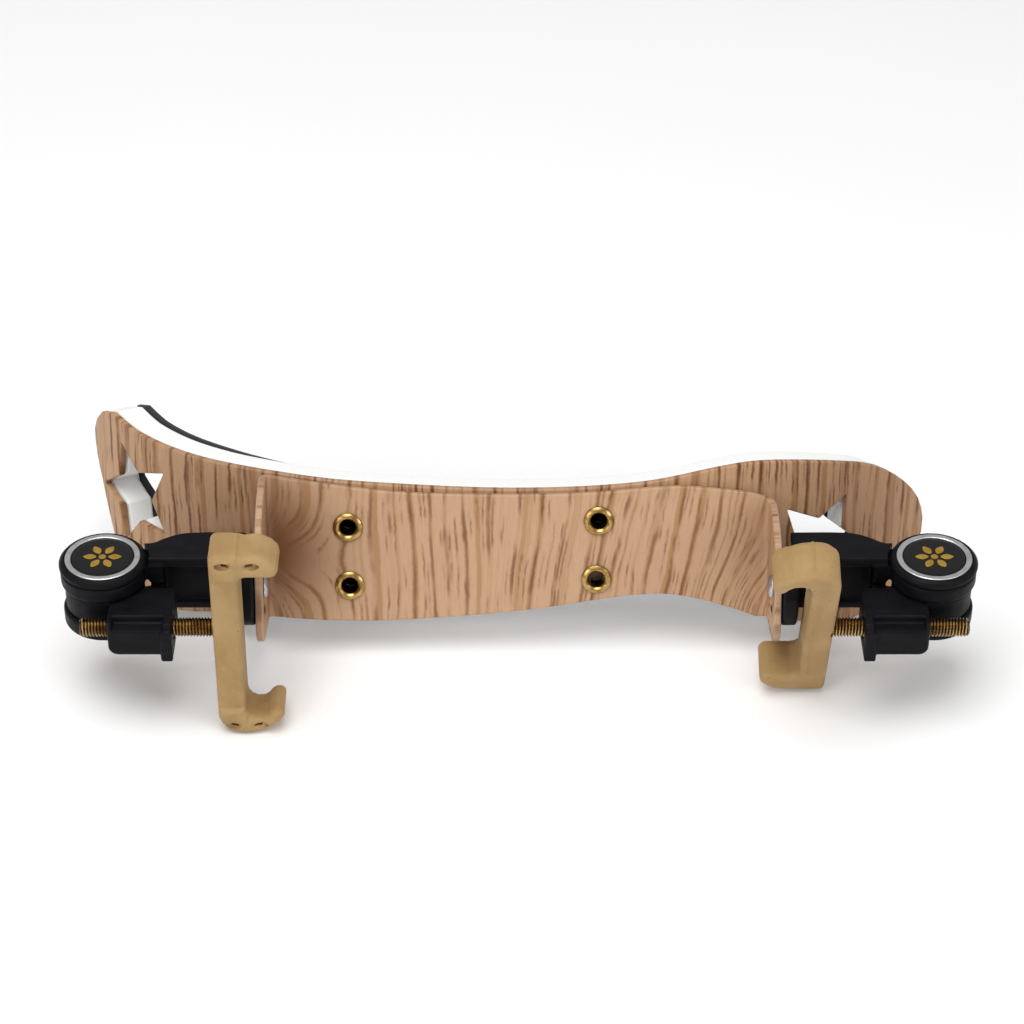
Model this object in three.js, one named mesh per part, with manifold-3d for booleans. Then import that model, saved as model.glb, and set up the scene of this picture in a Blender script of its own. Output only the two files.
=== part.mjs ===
// Violin shoulder rest, folded: a padded base plate, a U-shaped bracket, and at each end a hinged
// arm with a swivel block, a threaded rod and a rubber-covered fork. Millimetres, +Z up.
import * as THREE from 'three';
import { mergeVertices } from 'three/addons/utils/BufferGeometryUtils.js';
import Module from 'manifold-3d';

const wasm = await Module();
wasm.setup();

// ---- Driving dimensions ----
const GAP = 0.3; // between pieces that touch
const LEAN = THREE.MathUtils.degToRad(17); // of the plate, away from the forks

const PLATE_THICK = 2;
const FOAM_THICK = 8;
const BACKING_THICK = 2;
const BACKING_INSET = 1.6;
const BEND_STEP = 6; // length of the flat facets along a bend
const STAR_RADIUS = 14.5;
const STAR_NECK = 0.49; // inner corners' radius over the tips' radius

const SHEET = 1.8; // bracket
const FLANGE_X = 67.2; // outer face of each flange, from the middle
const FLANGE_REACH = 26;
const BEND_RADIUS = 3;

const DISC_X = 106.2; // swivel axis of each end, from the middle
const FORK_HALF = 28.5;
const ROD_DROP = 12; // rod axis below the cap's top
const ROD_FRONT = 13.6; // rod axis in front of the swivel axis
const ROD_RADIUS = 2.5;
const ROD_LENGTH = 36.5;
const CAP_TOP = FORK_HALF + ROD_DROP;
const ARM_HEIGHT = 18.9;
const ARM_AXIS = CAP_TOP - ARM_HEIGHT / 2;

const EAR_RADIUS = 11;
const CAP_RADIUS = 11.2;
const CAP_THICK = 2.3;
const TONGUE_RADIUS = 10.2;
const PIN_RADIUS = 2.5;
const HUB_RADIUS = 10;
const HUB_THICK = 3.8;
const HUB_X = FLANGE_X + GAP; // inner face of the hub
const RIVET_RADIUS = 1.5;
const PEG_ORBIT = 7.4;
const PEG_RADIUS = 1.1;
const ARM_SWING = THREE.MathUtils.degToRad(12); // each way, let by the flange's curved slots

const FORK_BAR = 7.1;
const FORK_FRONT = 9; // thicker side of the fork, from the rod axis
const FORK_BACK = 3;
const CORE_THICK = 2.4;
const CORE_COVER = 1.5; // rubber before and behind the core
const SIDES = [
  { name: 'left', sign: -1, barAt: 29.3, turn: 0, flip: false },
  { name: 'right', sign: 1, barAt: 26.3, turn: THREE.MathUtils.degToRad(22), flip: true },
];

const X = new THREE.Vector3(1, 0, 0);
const Y = new THREE.Vector3(0, 1, 0);
const Z = new THREE.Vector3(0, 0, 1);
const PLATE_UP = new THREE.Vector3(0, Math.sin(LEAN), Math.cos(LEAN));
const PLATE_OUT = new THREE.Vector3(0, -Math.cos(LEAN), Math.sin(LEAN));
const PLATE_ORIGIN = new THREE.Vector3(0, 19, 29.4);

// ---- Solids ----
function toSolid(geometry) {
  const bare = geometry.index ? geometry.toNonIndexed() : geometry.clone();
  bare.deleteAttribute('normal');
  bare.deleteAttribute('uv');
  const merged = mergeVertices(bare, 1e-4);
  return new wasm.Manifold(new wasm.Mesh({
    numProp: 3,
    vertProperties: new Float32Array(merged.attributes.position.array),
    triVerts: new Uint32Array(merged.index.array),
  }));
}

function toGeometry(solid) {
  const mesh = solid.getMesh();
  const geometry = new THREE.BufferGeometry();
  geometry.setAttribute('position', new THREE.BufferAttribute(new Float32Array(mesh.vertProperties), 3));
  geometry.setIndex(new THREE.BufferAttribute(new Uint32Array(mesh.triVerts), 1));
  geometry.computeVertexNormals();
  return geometry;
}

// An outline drawn along `across` and `up`, swept along their cross product from low to high.
function prism(points, low, high, across = X, up = Y, origin = new THREE.Vector3()) {
  const shape = new THREE.Shape(points.map(([a, b]) => new THREE.Vector2(a, b)));
  const geometry = new THREE.ExtrudeGeometry(shape, { depth: high - low, bevelEnabled: false });
  geometry.translate(0, 0, low);
  const along = new THREE.Vector3().crossVectors(across, up);
  const place = new THREE.Matrix4().makeBasis(across, up, along).setPosition(origin);
  return toSolid(geometry.applyMatrix4(place));
}

function box(x0, x1, y0, y1, z0, z1) {
  const geometry = new THREE.BoxGeometry(x1 - x0, y1 - y0, z1 - z0);
  return toSolid(geometry.translate((x0 + x1) / 2, (y0 + y1) / 2, (z0 + z1) / 2));
}

// A round bar along `axis`, from low to high, through the point `centre`.
function bar(radius, low, high, axis, centre, segments = 24) {
  const geometry = new THREE.CylinderGeometry(radius, radius, high - low, segments);
  geometry.translate(0, (low + high) / 2, 0);
  const turn = new THREE.Quaternion().setFromUnitVectors(Y, axis);
  geometry.applyQuaternion(turn);
  return toSolid(geometry.translate(centre.x, centre.y, centre.z));
}

// A turned piece about `axis`: profile points are [radius, distance along the axis].
function turned(profile, axis, centre, segments = 24) {
  const points = profile.map(([r, along]) => new THREE.Vector2(r, along));
  const geometry = new THREE.LatheGeometry(points, segments);
  geometry.applyQuaternion(new THREE.Quaternion().setFromUnitVectors(Y, axis));
  return toSolid(geometry.translate(centre.x, centre.y, centre.z));
}

function joined(...solids) {
  return solids.reduce((whole, next) => whole.add(next));
}

function smoothLoop(points, count) {
  const curve = new THREE.CatmullRomCurve3(points.map(([a, b]) => new THREE.Vector3(a, b, 0)), true);
  return curve.getSpacedPoints(count).slice(0, count).map((p) => [p.x, p.y]);
}

function roundedCorner(centreA, centreB, radius, from, to, steps = 4) {
  return Array.from({ length: steps + 1 }, (_, i) => {
    const angle = THREE.MathUtils.degToRad(from + ((to - from) * i) / steps);
    return [centreA + radius * Math.cos(angle), centreB + radius * Math.sin(angle)];
  });
}

// ---- Bent plate, foam and backing ----
// Stretches of the plate's plan from the middle outwards: [length, radius].
const LEFT_BENDS = [[40, Infinity], [27.2, 155], [80, 68]];
const RIGHT_BENDS = [[40, Infinity], [90, 120]];

// Where the plate's front face lies at a distance s along it, and which way it faces.
function planPoint(s) {
  const side = s < 0 ? -1 : 1;
  let rest = Math.abs(s);
  let x = 0;
  let out = 0;
  let turn = 0;
  for (const [length, radius] of s < 0 ? LEFT_BENDS : RIGHT_BENDS) {
    const step = Math.min(rest, length);
    if (radius === Infinity) {
      x += step;
    } else {
      const next = turn + step / radius;
      x += radius * (Math.sin(next) - Math.sin(turn));
      out -= radius * (Math.cos(turn) - Math.cos(next));
      turn = next;
    }
    rest -= step;
  }
  return { x: side * x, out, faceX: side * Math.sin(turn), faceOut: Math.cos(turn) };
}

// The distance along the plate whose front face lies at x.
function alongPlate(x) {
  let low = 0;
  let high = 147;
  for (let i = 0; i < 40; i += 1) {
    const middle = (low + high) / 2;
    if (Math.abs(planPoint(Math.sign(x) * middle).x) < Math.abs(x)) low = middle;
    else high = middle;
  }
  return Math.sign(x) * low;
}

function onPlate(s, up, behind) {
  const plan = planPoint(s);
  return PLATE_ORIGIN.clone()
    .addScaledVector(X, plan.x - behind * plan.faceX)
    .addScaledVector(PLATE_UP, up)
    .addScaledVector(PLATE_OUT, plan.out - behind * plan.faceOut);
}

const PLATE_OUTLINE = [
  [-110, -6], [-113, 7], [-114.8, 16], [-114.4, 23.5], [-110.6, 28], [-102.9, 25.4], [-89.8, 22.8],
  [-68.7, 20.5], [-45, 18], [0, 15.9], [32, 17.6], [52.7, 21.6], [63.3, 22.7], [84.4, 20.6],
  [96, 17.4], [106.5, 8], [109, -1.1], [105, -13], [96, -22.2], [82, -24.9], [70, -21], [58, -14.5],
  [38, -10.5], [5, -14.5], [-39, -17.8], [-68, -18.4], [-88, -22], [-101, -22.2], [-107, -15.3],
];

function plateOutline(inset) {
  return smoothLoop(PLATE_OUTLINE, 64).map(([x, up]) => {
    const share = THREE.MathUtils.smoothstep(x, -90, -50);
    const pull = inset * share;
    return [alongPlate(x - (x > 80 ? pull : 0)), up - Math.sign(up) * pull];
  });
}

function star(centreS, centreUp, turnDegrees, radius) {
  return Array.from({ length: 10 }, (_, i) => {
    const reach = i % 2 === 0 ? radius : radius * STAR_NECK;
    const angle = THREE.MathUtils.degToRad(90 + turnDegrees + 36 * i);
    return [centreS + reach * Math.cos(angle), centreUp + reach * Math.sin(angle)];
  });
}

function starHoles(grow) {
  return [
    star(alongPlate(-103.2), 7, 18, STAR_RADIUS + grow),
    star(alongPlate(80.4), -1.6, 44, STAR_RADIUS + grow),
  ];
}

// The triangles between two columns of points that run the same way.
function stitch(left, right, push) {
  let i = 0;
  let j = 0;
  while (i < left.length - 1 || j < right.length - 1) {
    const nextLeft = i < left.length - 1 ? (i + 1) / (left.length - 1) : 2;
    const nextRight = j < right.length - 1 ? (j + 1) / (right.length - 1) : 2;
    if (nextLeft < nextRight) {
      push(left[i], right[j], left[i + 1]);
      i += 1;
    } else {
      push(left[i], right[j], right[j + 1]);
      j += 1;
    }
  }
}

// A sheet with holes, cut flat and then bent: loops are [s, up] points, the depths are behind the
// plate's front face. Between two stations along s the sheet is a few four-sided cells.
function bentSheet(loops, frontDepth, backDepth) {
  const edges = loops.flatMap((loop) => loop.map((point, i) => [point, loop[(i + 1) % loop.length]]));
  const ends = edges.map(([start]) => start[0]);
  const low = Math.min(...ends);
  const high = Math.max(...ends);
  const stations = [...ends];
  for (let s = low + BEND_STEP; s < high; s += BEND_STEP) {
    if (ends.every((end) => Math.abs(end - s) > BEND_STEP / 4)) stations.push(s);
  }
  stations.sort((a, b) => a - b);
  const distinct = stations.filter((s, i) => i === 0 || s - stations[i - 1] > 1e-6);
  const snap = (up) => Math.round(up * 1e5) / 1e5;
  const heightAt = ([start, end], s) => {
    if (s === start[0]) return snap(start[1]);
    if (s === end[0]) return snap(end[1]);
    return snap(start[1] + ((end[1] - start[1]) * (s - start[0])) / (end[0] - start[0]));
  };
  const cells = [];
  const marks = distinct.map(() => new Set());
  for (let i = 0; i + 1 < distinct.length; i += 1) {
    const [a, b] = [distinct[i], distinct[i + 1]];
    const middle = (a + b) / 2;
    const spanning = edges
      .filter(([start, end]) => Math.min(start[0], end[0]) < middle && middle < Math.max(start[0], end[0]))
      .map((edge) => ({ a: heightAt(edge, a), b: heightAt(edge, b) }))
      .sort((p, q) => p.a + p.b - q.a - q.b);
    for (let k = 0; k < spanning.length; k += 2) {
      cells.push({ i, bottom: spanning[k], top: spanning[k + 1] });
      marks[i].add(spanning[k].a).add(spanning[k + 1].a);
      marks[i + 1].add(spanning[k].b).add(spanning[k + 1].b);
    }
  }
  const vertices = [];
  const indices = [];
  const known = new Map();
  const vertex = (i, up, depth) => {
    const key = `${i} ${up} ${depth}`;
    if (!known.has(key)) {
      known.set(key, vertices.length / 3);
      vertices.push(...onPlate(distinct[i], up, depth).toArray());
    }
    return known.get(key);
  };
  const column = (i, from, to) => [...marks[i]].filter((up) => up >= from && up <= to)
    .sort((p, q) => p - q).map((up) => [i, up]);
  const face = (p, q, r) => {
    indices.push(vertex(...p, frontDepth), vertex(...q, frontDepth), vertex(...r, frontDepth));
    indices.push(vertex(...p, backDepth), vertex(...r, backDepth), vertex(...q, backDepth));
  };
  const wall = (p, q) => {
    const [pf, pb] = [vertex(...p, frontDepth), vertex(...p, backDepth)];
    const [qf, qb] = [vertex(...q, frontDepth), vertex(...q, backDepth)];
    indices.push(pf, pb, qb, pf, qb, qf);
  };
  for (const { i, bottom, top } of cells) {
    const left = column(i, bottom.a, top.a);
    const right = column(i + 1, bottom.b, top.b);
    stitch(left, right, face);
    wall(left[0], right[0]);
    wall(right.at(-1), left.at(-1));
  }
  const geometry = new THREE.BufferGeometry();
  geometry.setAttribute('position', new THREE.Float32BufferAttribute(vertices, 3));
  geometry.setIndex(indices);
  return toSolid(geometry);
}

const EYELETS = [
  { name: 'eyelet_left_upper', x: -44.5, up: 6.2 },
  { name: 'eyelet_left_lower', x: -44.2, up: -10 },
  { name: 'eyelet_right_upper', x: 21, up: 8 },
  { name: 'eyelet_right_lower', x: 20.5, up: -8.2 },
];
const EYELET_HEAD = 3.95;
const EYELET_TUBE = 2.7;
const EYELET_BORE = 2.1;

function eyeletHoles(radius) {
  return EYELETS.map(({ x, up }) => bar(radius, -30, 10, PLATE_OUT, onPlate(x, up, 0), 20));
}

function basePlate() {
  const sheet = bentSheet([plateOutline(0), ...starHoles(0)], 0, PLATE_THICK);
  return eyeletHoles(EYELET_TUBE + GAP).reduce((whole, hole) => whole.subtract(hole), sheet);
}

function foamPad() {
  const front = PLATE_THICK + GAP;
  const sheet = bentSheet([plateOutline(0), ...starHoles(0.2)], front, front + FOAM_THICK);
  return eyeletHoles(EYELET_HEAD + GAP).reduce((whole, hole) => whole.subtract(hole), sheet);
}

function padBacking() {
  const front = PLATE_THICK + FOAM_THICK + 2 * GAP;
  return bentSheet([plateOutline(BACKING_INSET), ...starHoles(0.4)], front, front + BACKING_THICK);
}

// A hollow brass eyelet: a rolled head on the bracket, a barrel, and a rolled end behind the plate.
function eyelet({ x, up }) {
  const front = GAP + SHEET;
  const back = -PLATE_THICK;
  const profile = [
    [EYELET_BORE, back - 0.8], [EYELET_HEAD - 0.3, back - 0.8], [EYELET_HEAD - 0.3, back - GAP],
    [EYELET_TUBE, back - GAP], [EYELET_TUBE, front + GAP], [EYELET_HEAD, front + GAP],
    [EYELET_HEAD - 0.6, front + 1], [EYELET_BORE + 0.5, front + 1], [EYELET_BORE, front + 0.5],
    [EYELET_BORE, back - 0.8],
  ];
  return turned(profile, PLATE_OUT, onPlate(x, up, 0), 20);
}

// ---- Bracket ----
const BRACKET_TOP = [
  [-72, 21.4], [-66, 20.4], [-58.5, 19.2], [-45.7, 17.3], [-30, 15.6], [0, 15], [20, 15.6], [35.6, 17],
  [43.4, 17.3], [50.8, 16.7], [62, 15.2], [66, 13.6], [72, 10],
];
const BRACKET_BOTTOM = [
  [72, -21.5], [64.4, -19.4], [56, -16.4], [46, -13.6], [38, -12.5], [30, -12.9], [22, -14], [5, -16.7],
  [-10, -18.3], [-24, -19.4], [-38, -20.1], [-55, -19.7], [-66, -18.7], [-72, -18.2],
];

function curvedRow(points, count) {
  const curve = new THREE.CatmullRomCurve3(points.map(([a, b]) => new THREE.Vector3(a, b, 0)));
  return curve.getSpacedPoints(count).map((p) => [p.x, p.y]);
}

// The U of sheet seen from above, between its outer faces when inset is 0.
function channel(inset) {
  const side = FLANGE_X - inset;
  const front = GAP + inset;
  const radius = BEND_RADIUS - inset;
  return [
    [-side, FLANGE_REACH], ...roundedCorner(-side + radius, front + radius, radius, 180, 270),
    ...roundedCorner(side - radius, front + radius, radius, 270, 360), [side, FLANGE_REACH],
  ];
}

// The outline of a flange seen from the side, as [out, up]: a sloping round top, a round lower corner.
function flangeOutline(topOfBend) {
  const slope = Array.from({ length: 9 }, (_, i) => {
    const angle = (Math.PI / 2) * (i / 8);
    const out = BEND_RADIUS + (FLANGE_REACH - BEND_RADIUS) * Math.sin(angle);
    return [out, topOfBend * Math.cos(angle)];
  });
  const lower = -18.6;
  return [
    [0, 40], [BEND_RADIUS - 0.01, 40], ...slope,
    ...roundedCorner(FLANGE_REACH - 7, lower + 7, 7, 0, -90), [BEND_RADIUS, lower],
    [BEND_RADIUS - 0.01, -40], [0, -40],
  ];
}

// A curved slot about the rivet that lets an arm's peg swing.
function pegSlot(above) {
  const half = PEG_RADIUS + GAP;
  const middle = above ? 90 : -90;
  const sweep = THREE.MathUtils.radToDeg(ARM_SWING) + 2;
  const outer = roundedCorner(0, 0, PEG_ORBIT + half, middle - sweep, middle + sweep);
  const inner = roundedCorner(0, 0, PEG_ORBIT - half, middle + sweep, middle - sweep);
  const origin = new THREE.Vector3(0, 0, ARM_AXIS);
  const slot = prism([...outer, ...inner], -80, 80, Y, Z, origin);
  const ends = [middle - sweep, middle + sweep].map((angle) => {
    const [y, z] = roundedCorner(0, 0, PEG_ORBIT, angle, angle, 1)[0];
    return bar(half, -80, 80, X, new THREE.Vector3(0, y, ARM_AXIS + z), 12);
  });
  return joined(slot, ...ends);
}

function centreBracket() {
  const outline = [...curvedRow(BRACKET_TOP, 18), ...curvedRow(BRACKET_BOTTOM, 20)].reverse();
  const length = 100;
  const sweep = (inset) => prism(
    channel(inset).map(([x, out]) => [out, x]), -length, length, PLATE_OUT, X, PLATE_ORIGIN,
  );
  // X runs as the second direction here, so the sweep is along the plate's upward direction.
  const shell = sweep(0).subtract(prism(
    [...channel(SHEET).slice(1, -1), [FLANGE_X - SHEET, 60], [-FLANGE_X + SHEET, 60]]
      .map(([x, out]) => [out, x]),
    -length - 1, length + 1, PLATE_OUT, X, PLATE_ORIGIN,
  ));
  const front = prism(outline, -10, 60, X, PLATE_UP, PLATE_ORIGIN);
  const sides = [[20.6, 0, 100], [13.4, -100, 0]].map(([top, low, high]) => prism(
    flangeOutline(top), low, high, PLATE_OUT, PLATE_UP, PLATE_ORIGIN,
  ));
  const whole = shell.intersect(front).intersect(joined(...sides));
  const rivetHole = bar(RIVET_RADIUS + GAP, -80, 80, X, new THREE.Vector3(0, 0, ARM_AXIS), 16);
  return [rivetHole, pegSlot(true), pegSlot(false), ...eyeletHoles(EYELET_TUBE + GAP)]
    .reduce((sheet, hole) => sheet.subtract(hole), whole);
}

// ---- One end: x is the distance inboard of the swivel axis, y is to the back, z is below the cap ----
const FRONT = new THREE.Vector3(0, -1, 0);
const EAR_TOP = -CAP_THICK - GAP;
const EAR_UNDER = -6.7;
const LOWER_EAR_TOP = -14.2;
const HUB_AT = DISC_X - HUB_X;
const AXLE = new THREE.Vector3(0, 0, 0);
const RIVET_POINT = new THREE.Vector3(0, 0, -ARM_HEIGHT / 2);
const ROD_POINT = new THREE.Vector3(0, -ROD_FRONT, -ROD_DROP);

// The I-section beam between the two ears and the hub.
function armBeam() {
  const hubBack = HUB_AT - HUB_THICK;
  const topPlan = [[11.9, -0.7], [hubBack + 1, -0.7], [hubBack + 1, 10.8], [22, 10.8], [16, 9.8], [12.4, 8.2]];
  const rootPlan = [[0, -0.7], [15, -0.7], [15, 8.6], [9, 6.2], [0, 6.2]];
  const bottomPlan = [[0, 0], [15, 2.8], [hubBack + 1, 2.8], [hubBack + 1, 9.6], [15, 8.6], [8, 5]];
  return joined(
    prism(topPlan, -2.9, 0),
    prism(rootPlan, EAR_UNDER, EAR_TOP),
    prism(bottomPlan, -ARM_HEIGHT, -16.9),
    prism(rootPlan, -ARM_HEIGHT, LOWER_EAR_TOP),
    box(11.5, 15, -0.7, 8, -16.9, -2),
    box(14, hubBack + 1, 4.4, 7.4, -16.9, -2.9),
  );
}

function arm() {
  const ears = joined(
    bar(EAR_RADIUS, EAR_UNDER, EAR_TOP, Z, AXLE, 32),
    bar(EAR_RADIUS, -ARM_HEIGHT, LOWER_EAR_TOP, Z, AXLE, 32),
  );
  const hub = bar(HUB_RADIUS, HUB_AT - HUB_THICK, HUB_AT, X, RIVET_POINT, 32);
  const pegs = [PEG_ORBIT, -PEG_ORBIT].map((z) => bar(
    PEG_RADIUS, HUB_AT - 1, HUB_AT + SHEET + GAP, X, new THREE.Vector3(0, 0, RIVET_POINT.z + z), 12,
  ));
  const solid = joined(ears, armBeam(), hub, ...pegs);
  const tongueRoom = bar(TONGUE_RADIUS + 0.4, LOWER_EAR_TOP, EAR_UNDER, Z, AXLE, 32);
  const pinHole = bar(PIN_RADIUS + GAP, -30, 10, Z, AXLE, 16);
  const headRoom = bar(4.3, -ARM_HEIGHT - 1, -ARM_HEIGHT + 1.6, Z, AXLE, 20);
  const rivetHole = bar(RIVET_RADIUS + GAP, 0, 60, X, RIVET_POINT, 16);
  const rivetRoom = bar(3.3, 20, HUB_AT - HUB_THICK + 0.8, X, RIVET_POINT, 20);
  return [tongueRoom, pinHole, headRoom, rivetHole, rivetRoom]
    .reduce((whole, cut) => whole.subtract(cut), solid);
}

// A rivet with a domed head inside the flange and a flat tail in the hub.
function armRivet() {
  const headAt = HUB_AT + GAP + SHEET + GAP;
  const tail = HUB_AT - HUB_THICK - 0.3;
  const profile = [
    [0, tail], [2.9, tail], [3, tail + 1], [RIVET_RADIUS, tail + 1], [RIVET_RADIUS, headAt],
    [3, headAt], [2.7, headAt + 0.7], [1.8, headAt + 1.1], [0, headAt + 1.25],
  ];
  return turned(profile, X, RIVET_POINT, 20);
}

function pivotPin() {
  const bottom = -ARM_HEIGHT + GAP;
  const profile = [
    [0, bottom], [3.9, bottom], [4, bottom + 1], [PIN_RADIUS, bottom + 1],
    [PIN_RADIUS, EAR_TOP - 0.2], [0, EAR_TOP - 0.2],
  ];
  return turned(profile, Z, AXLE, 20);
}

function cap() {
  const profile = [
    [0, -CAP_THICK], [CAP_RADIUS, -CAP_THICK], [CAP_RADIUS, -1], [CAP_RADIUS - 0.3, -0.4],
    [CAP_RADIUS - 1, 0], [9.9, 0], [9.9, -0.9], [0, -0.9],
  ];
  return turned(profile, Z, AXLE, 36);
}

function capRing() {
  const profile = [[8.1, -0.6], [9.6, -0.6], [9.6, 0], [9.3, 0.15], [8.4, 0.15], [8.1, 0], [8.1, -0.6]];
  return turned(profile, Z, AXLE, 36);
}

function capBadge() {
  const profile = [[0, -0.6], [7.8, -0.6], [7.8, -0.1], [5, 0.05], [0, 0.1]];
  return turned(profile, Z, AXLE, 36);
}

// The block that swivels between the ears and carries the threaded rod.
function swivelBlock() {
  const outline = [
    ...roundedCorner(4.8, -14.5, 2.5, 180, 270, 5), [18.6, -17], [18.6, -7.1], [2.3, -7.1],
  ];
  const rim = [[15.6, -18.4], [18.6, -18.4], [18.6, -9], [15.6, -9]];
  const body = joined(
    prism(outline, 3.2, 19.1, X, Z),
    prism(rim, 6, 19.9, X, Z),
    bar(TONGUE_RADIUS, LOWER_EAR_TOP + GAP, EAR_UNDER - GAP, Z, AXLE, 32),
  );
  const earRoom = bar(EAR_RADIUS + GAP, -30, LOWER_EAR_TOP + GAP, Z, AXLE, 32);
  const upperRoom = bar(EAR_RADIUS + GAP, EAR_UNDER - GAP, 0, Z, AXLE, 32);
  const pinHole = bar(PIN_RADIUS + GAP, -30, 10, Z, AXLE, 16);
  const rodHole = bar(ROD_RADIUS + GAP, -30, 60, X, ROD_POINT, 20);
  return [earRoom, upperRoom, pinHole, rodHole].reduce((whole, cut) => whole.subtract(cut), body);
}

function threadedRod(side) {
  const end = side.barAt + 2;
  const chamfer = 0.6;
  const profile = [
    [0, end - ROD_LENGTH], [ROD_RADIUS - chamfer, end - ROD_LENGTH],
    [ROD_RADIUS, end - ROD_LENGTH + chamfer], [ROD_RADIUS, end], [0, end],
  ];
  return turned(profile, X, ROD_POINT, 20);
}

// Half of the fork's outline, as [distance past the bar's outer face, distance from the rod axis].
function forkHalf() {
  const outer = roundedCorner(6, FORK_HALF - 6, 6, 180, 90, 6);
  return [
    ...outer, [8.6, FORK_HALF - 0.1], [12.4, FORK_HALF - 0.9], [15.4, FORK_HALF - 2.1],
    [17.2, FORK_HALF - 3.9], [17.2, FORK_HALF - 5.4], [15.6, FORK_HALF - 6.5], [11.8, FORK_HALF - 6.6],
    [10.9, FORK_HALF - 5.8], [10.6, FORK_HALF - 4.2], [9.2, FORK_HALF - 3.6], [7.8, FORK_HALF - 4],
    [FORK_BAR, FORK_HALF - 5.4],
  ];
}

function coreOutline(grow) {
  const outer = 2.2 - grow;
  const inner = 2.2 + CORE_THICK + grow;
  const end = 26.9 + grow;
  const under = 25.9 - grow;
  const tip = 12.2 + grow;
  const half = [[outer, end], [tip, end], [tip, under], [inner, under]];
  return [...half, ...half.map(([u, h]) => [u, -h]).reverse()].reverse();
}

// The fork stands on its rod: its thick side faces front, or back when it is flipped.
function forkPiece(side, build) {
  const [back, front] = side.flip ? [-FORK_FRONT, FORK_BACK] : [-FORK_BACK, FORK_FRONT];
  const origin = new THREE.Vector3(side.barAt, 0, 0);
  const upright = build(back, front, origin);
  const tip = new THREE.Matrix4().makeRotationX(side.turn);
  tip.setPosition(ROD_POINT);
  return upright.transform(tip.elements);
}

function forkCore(side) {
  return forkPiece(side, (back, front, origin) => (
    prism(coreOutline(0), back + CORE_COVER, front - CORE_COVER, X, Z, origin)
  ));
}

function forkRubber(side) {
  return forkPiece(side, (back, front, origin) => {
    const half = forkHalf();
    const outline = [...half, ...half.map(([u, h]) => [u, -h]).reverse()].reverse();
    const body = prism(outline, back, front, X, Z, origin);
    const cover = CORE_COVER - GAP;
    const room = prism(coreOutline(GAP), back + cover, front - cover, X, Z, origin);
    const thick = side.flip ? back : front;
    const slots = [4.2, 10.2].flatMap((u) => [1, -1].map((end) => {
      const [low, high] = [end * 26.4 - 0.45, end * 26.4 + 0.45];
      const hole = [[u - 1.3, low], [u + 1.3, low], [u + 1.3, high], [u - 1.3, high]];
      return prism(hole, Math.min(0, thick * 1.2), Math.max(0, thick * 1.2), X, Z, origin);
    }));
    const rodHole = bar(ROD_RADIUS + 0.05, -5, 2 + GAP / 2, X, origin, 20);
    return [room, rodHole, ...slots].reduce((whole, cut) => whole.subtract(cut), body);
  });
}

// ---- Assembly ----
const COLOURS = {
  grain: { color: 0xc9a07c, roughness: 0.55, metalness: 0 },
  foam: { color: 0xf2f2f0, roughness: 0.9, metalness: 0 },
  backing: { color: 0x17171a, roughness: 0.85, metalness: 0 },
  plastic: { color: 0x141418, roughness: 0.5, metalness: 0 },
  badge: { color: 0x0b0b0d, roughness: 0.2, metalness: 0 },
  brass: { color: 0xb08a4c, roughness: 0.3, metalness: 1 },
  steel: { color: 0xb9b9be, roughness: 0.3, metalness: 1 },
  rubber: { color: 0xb89862, roughness: 0.75, metalness: 0 },
  core: { color: 0x3a3128, roughness: 0.6, metalness: 0 },
};

const model = new THREE.Group();

function addPiece(parent, name, solid, colour) {
  const mesh = new THREE.Mesh(toGeometry(solid), new THREE.MeshStandardMaterial(COLOURS[colour]));
  mesh.name = name;
  parent.add(mesh);
}

addPiece(model, 'base_plate', basePlate(), 'grain');
addPiece(model, 'foam_pad', foamPad(), 'foam');
addPiece(model, 'pad_backing', padBacking(), 'backing');
addPiece(model, 'centre_bracket', centreBracket(), 'grain');
for (const place of EYELETS) addPiece(model, place.name, eyelet(place), 'brass');

for (const side of SIDES) {
  const end = new THREE.Group();
  end.position.set(side.sign * DISC_X, 0, CAP_TOP);
  model.add(end);
  // Each end is drawn once, inboard along +x, and mirrored for the right-hand end.
  const placed = (solid) => (side.sign > 0 ? solid.mirror([1, 0, 0]) : solid);
  addPiece(end, `${side.name}_arm`, placed(arm()), 'plastic');
  addPiece(end, `${side.name}_arm_rivet`, placed(armRivet()), 'steel');
  addPiece(end, `${side.name}_pivot_pin`, placed(pivotPin()), 'steel');
  addPiece(end, `${side.name}_cap`, placed(cap()), 'plastic');
  addPiece(end, `${side.name}_cap_ring`, placed(capRing()), 'steel');
  addPiece(end, `${side.name}_cap_badge`, placed(capBadge()), 'badge');
  addPiece(end, `${side.name}_swivel_block`, placed(swivelBlock()), 'plastic');
  addPiece(end, `${side.name}_threaded_rod`, placed(threadedRod(side)), 'brass');
  addPiece(end, `${side.name}_fork_core`, placed(forkCore(side)), 'core');
  addPiece(end, `${side.name}_fork_rubber`, placed(forkRubber(side)), 'rubber');
}

// The part stands on the floor, centred over its origin.
const bounds = new THREE.Box3().setFromObject(model, true);
const middle = bounds.getCenter(new THREE.Vector3());
model.position.set(-middle.x, -middle.y, -bounds.min.z);

export default model;
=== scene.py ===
import math

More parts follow.
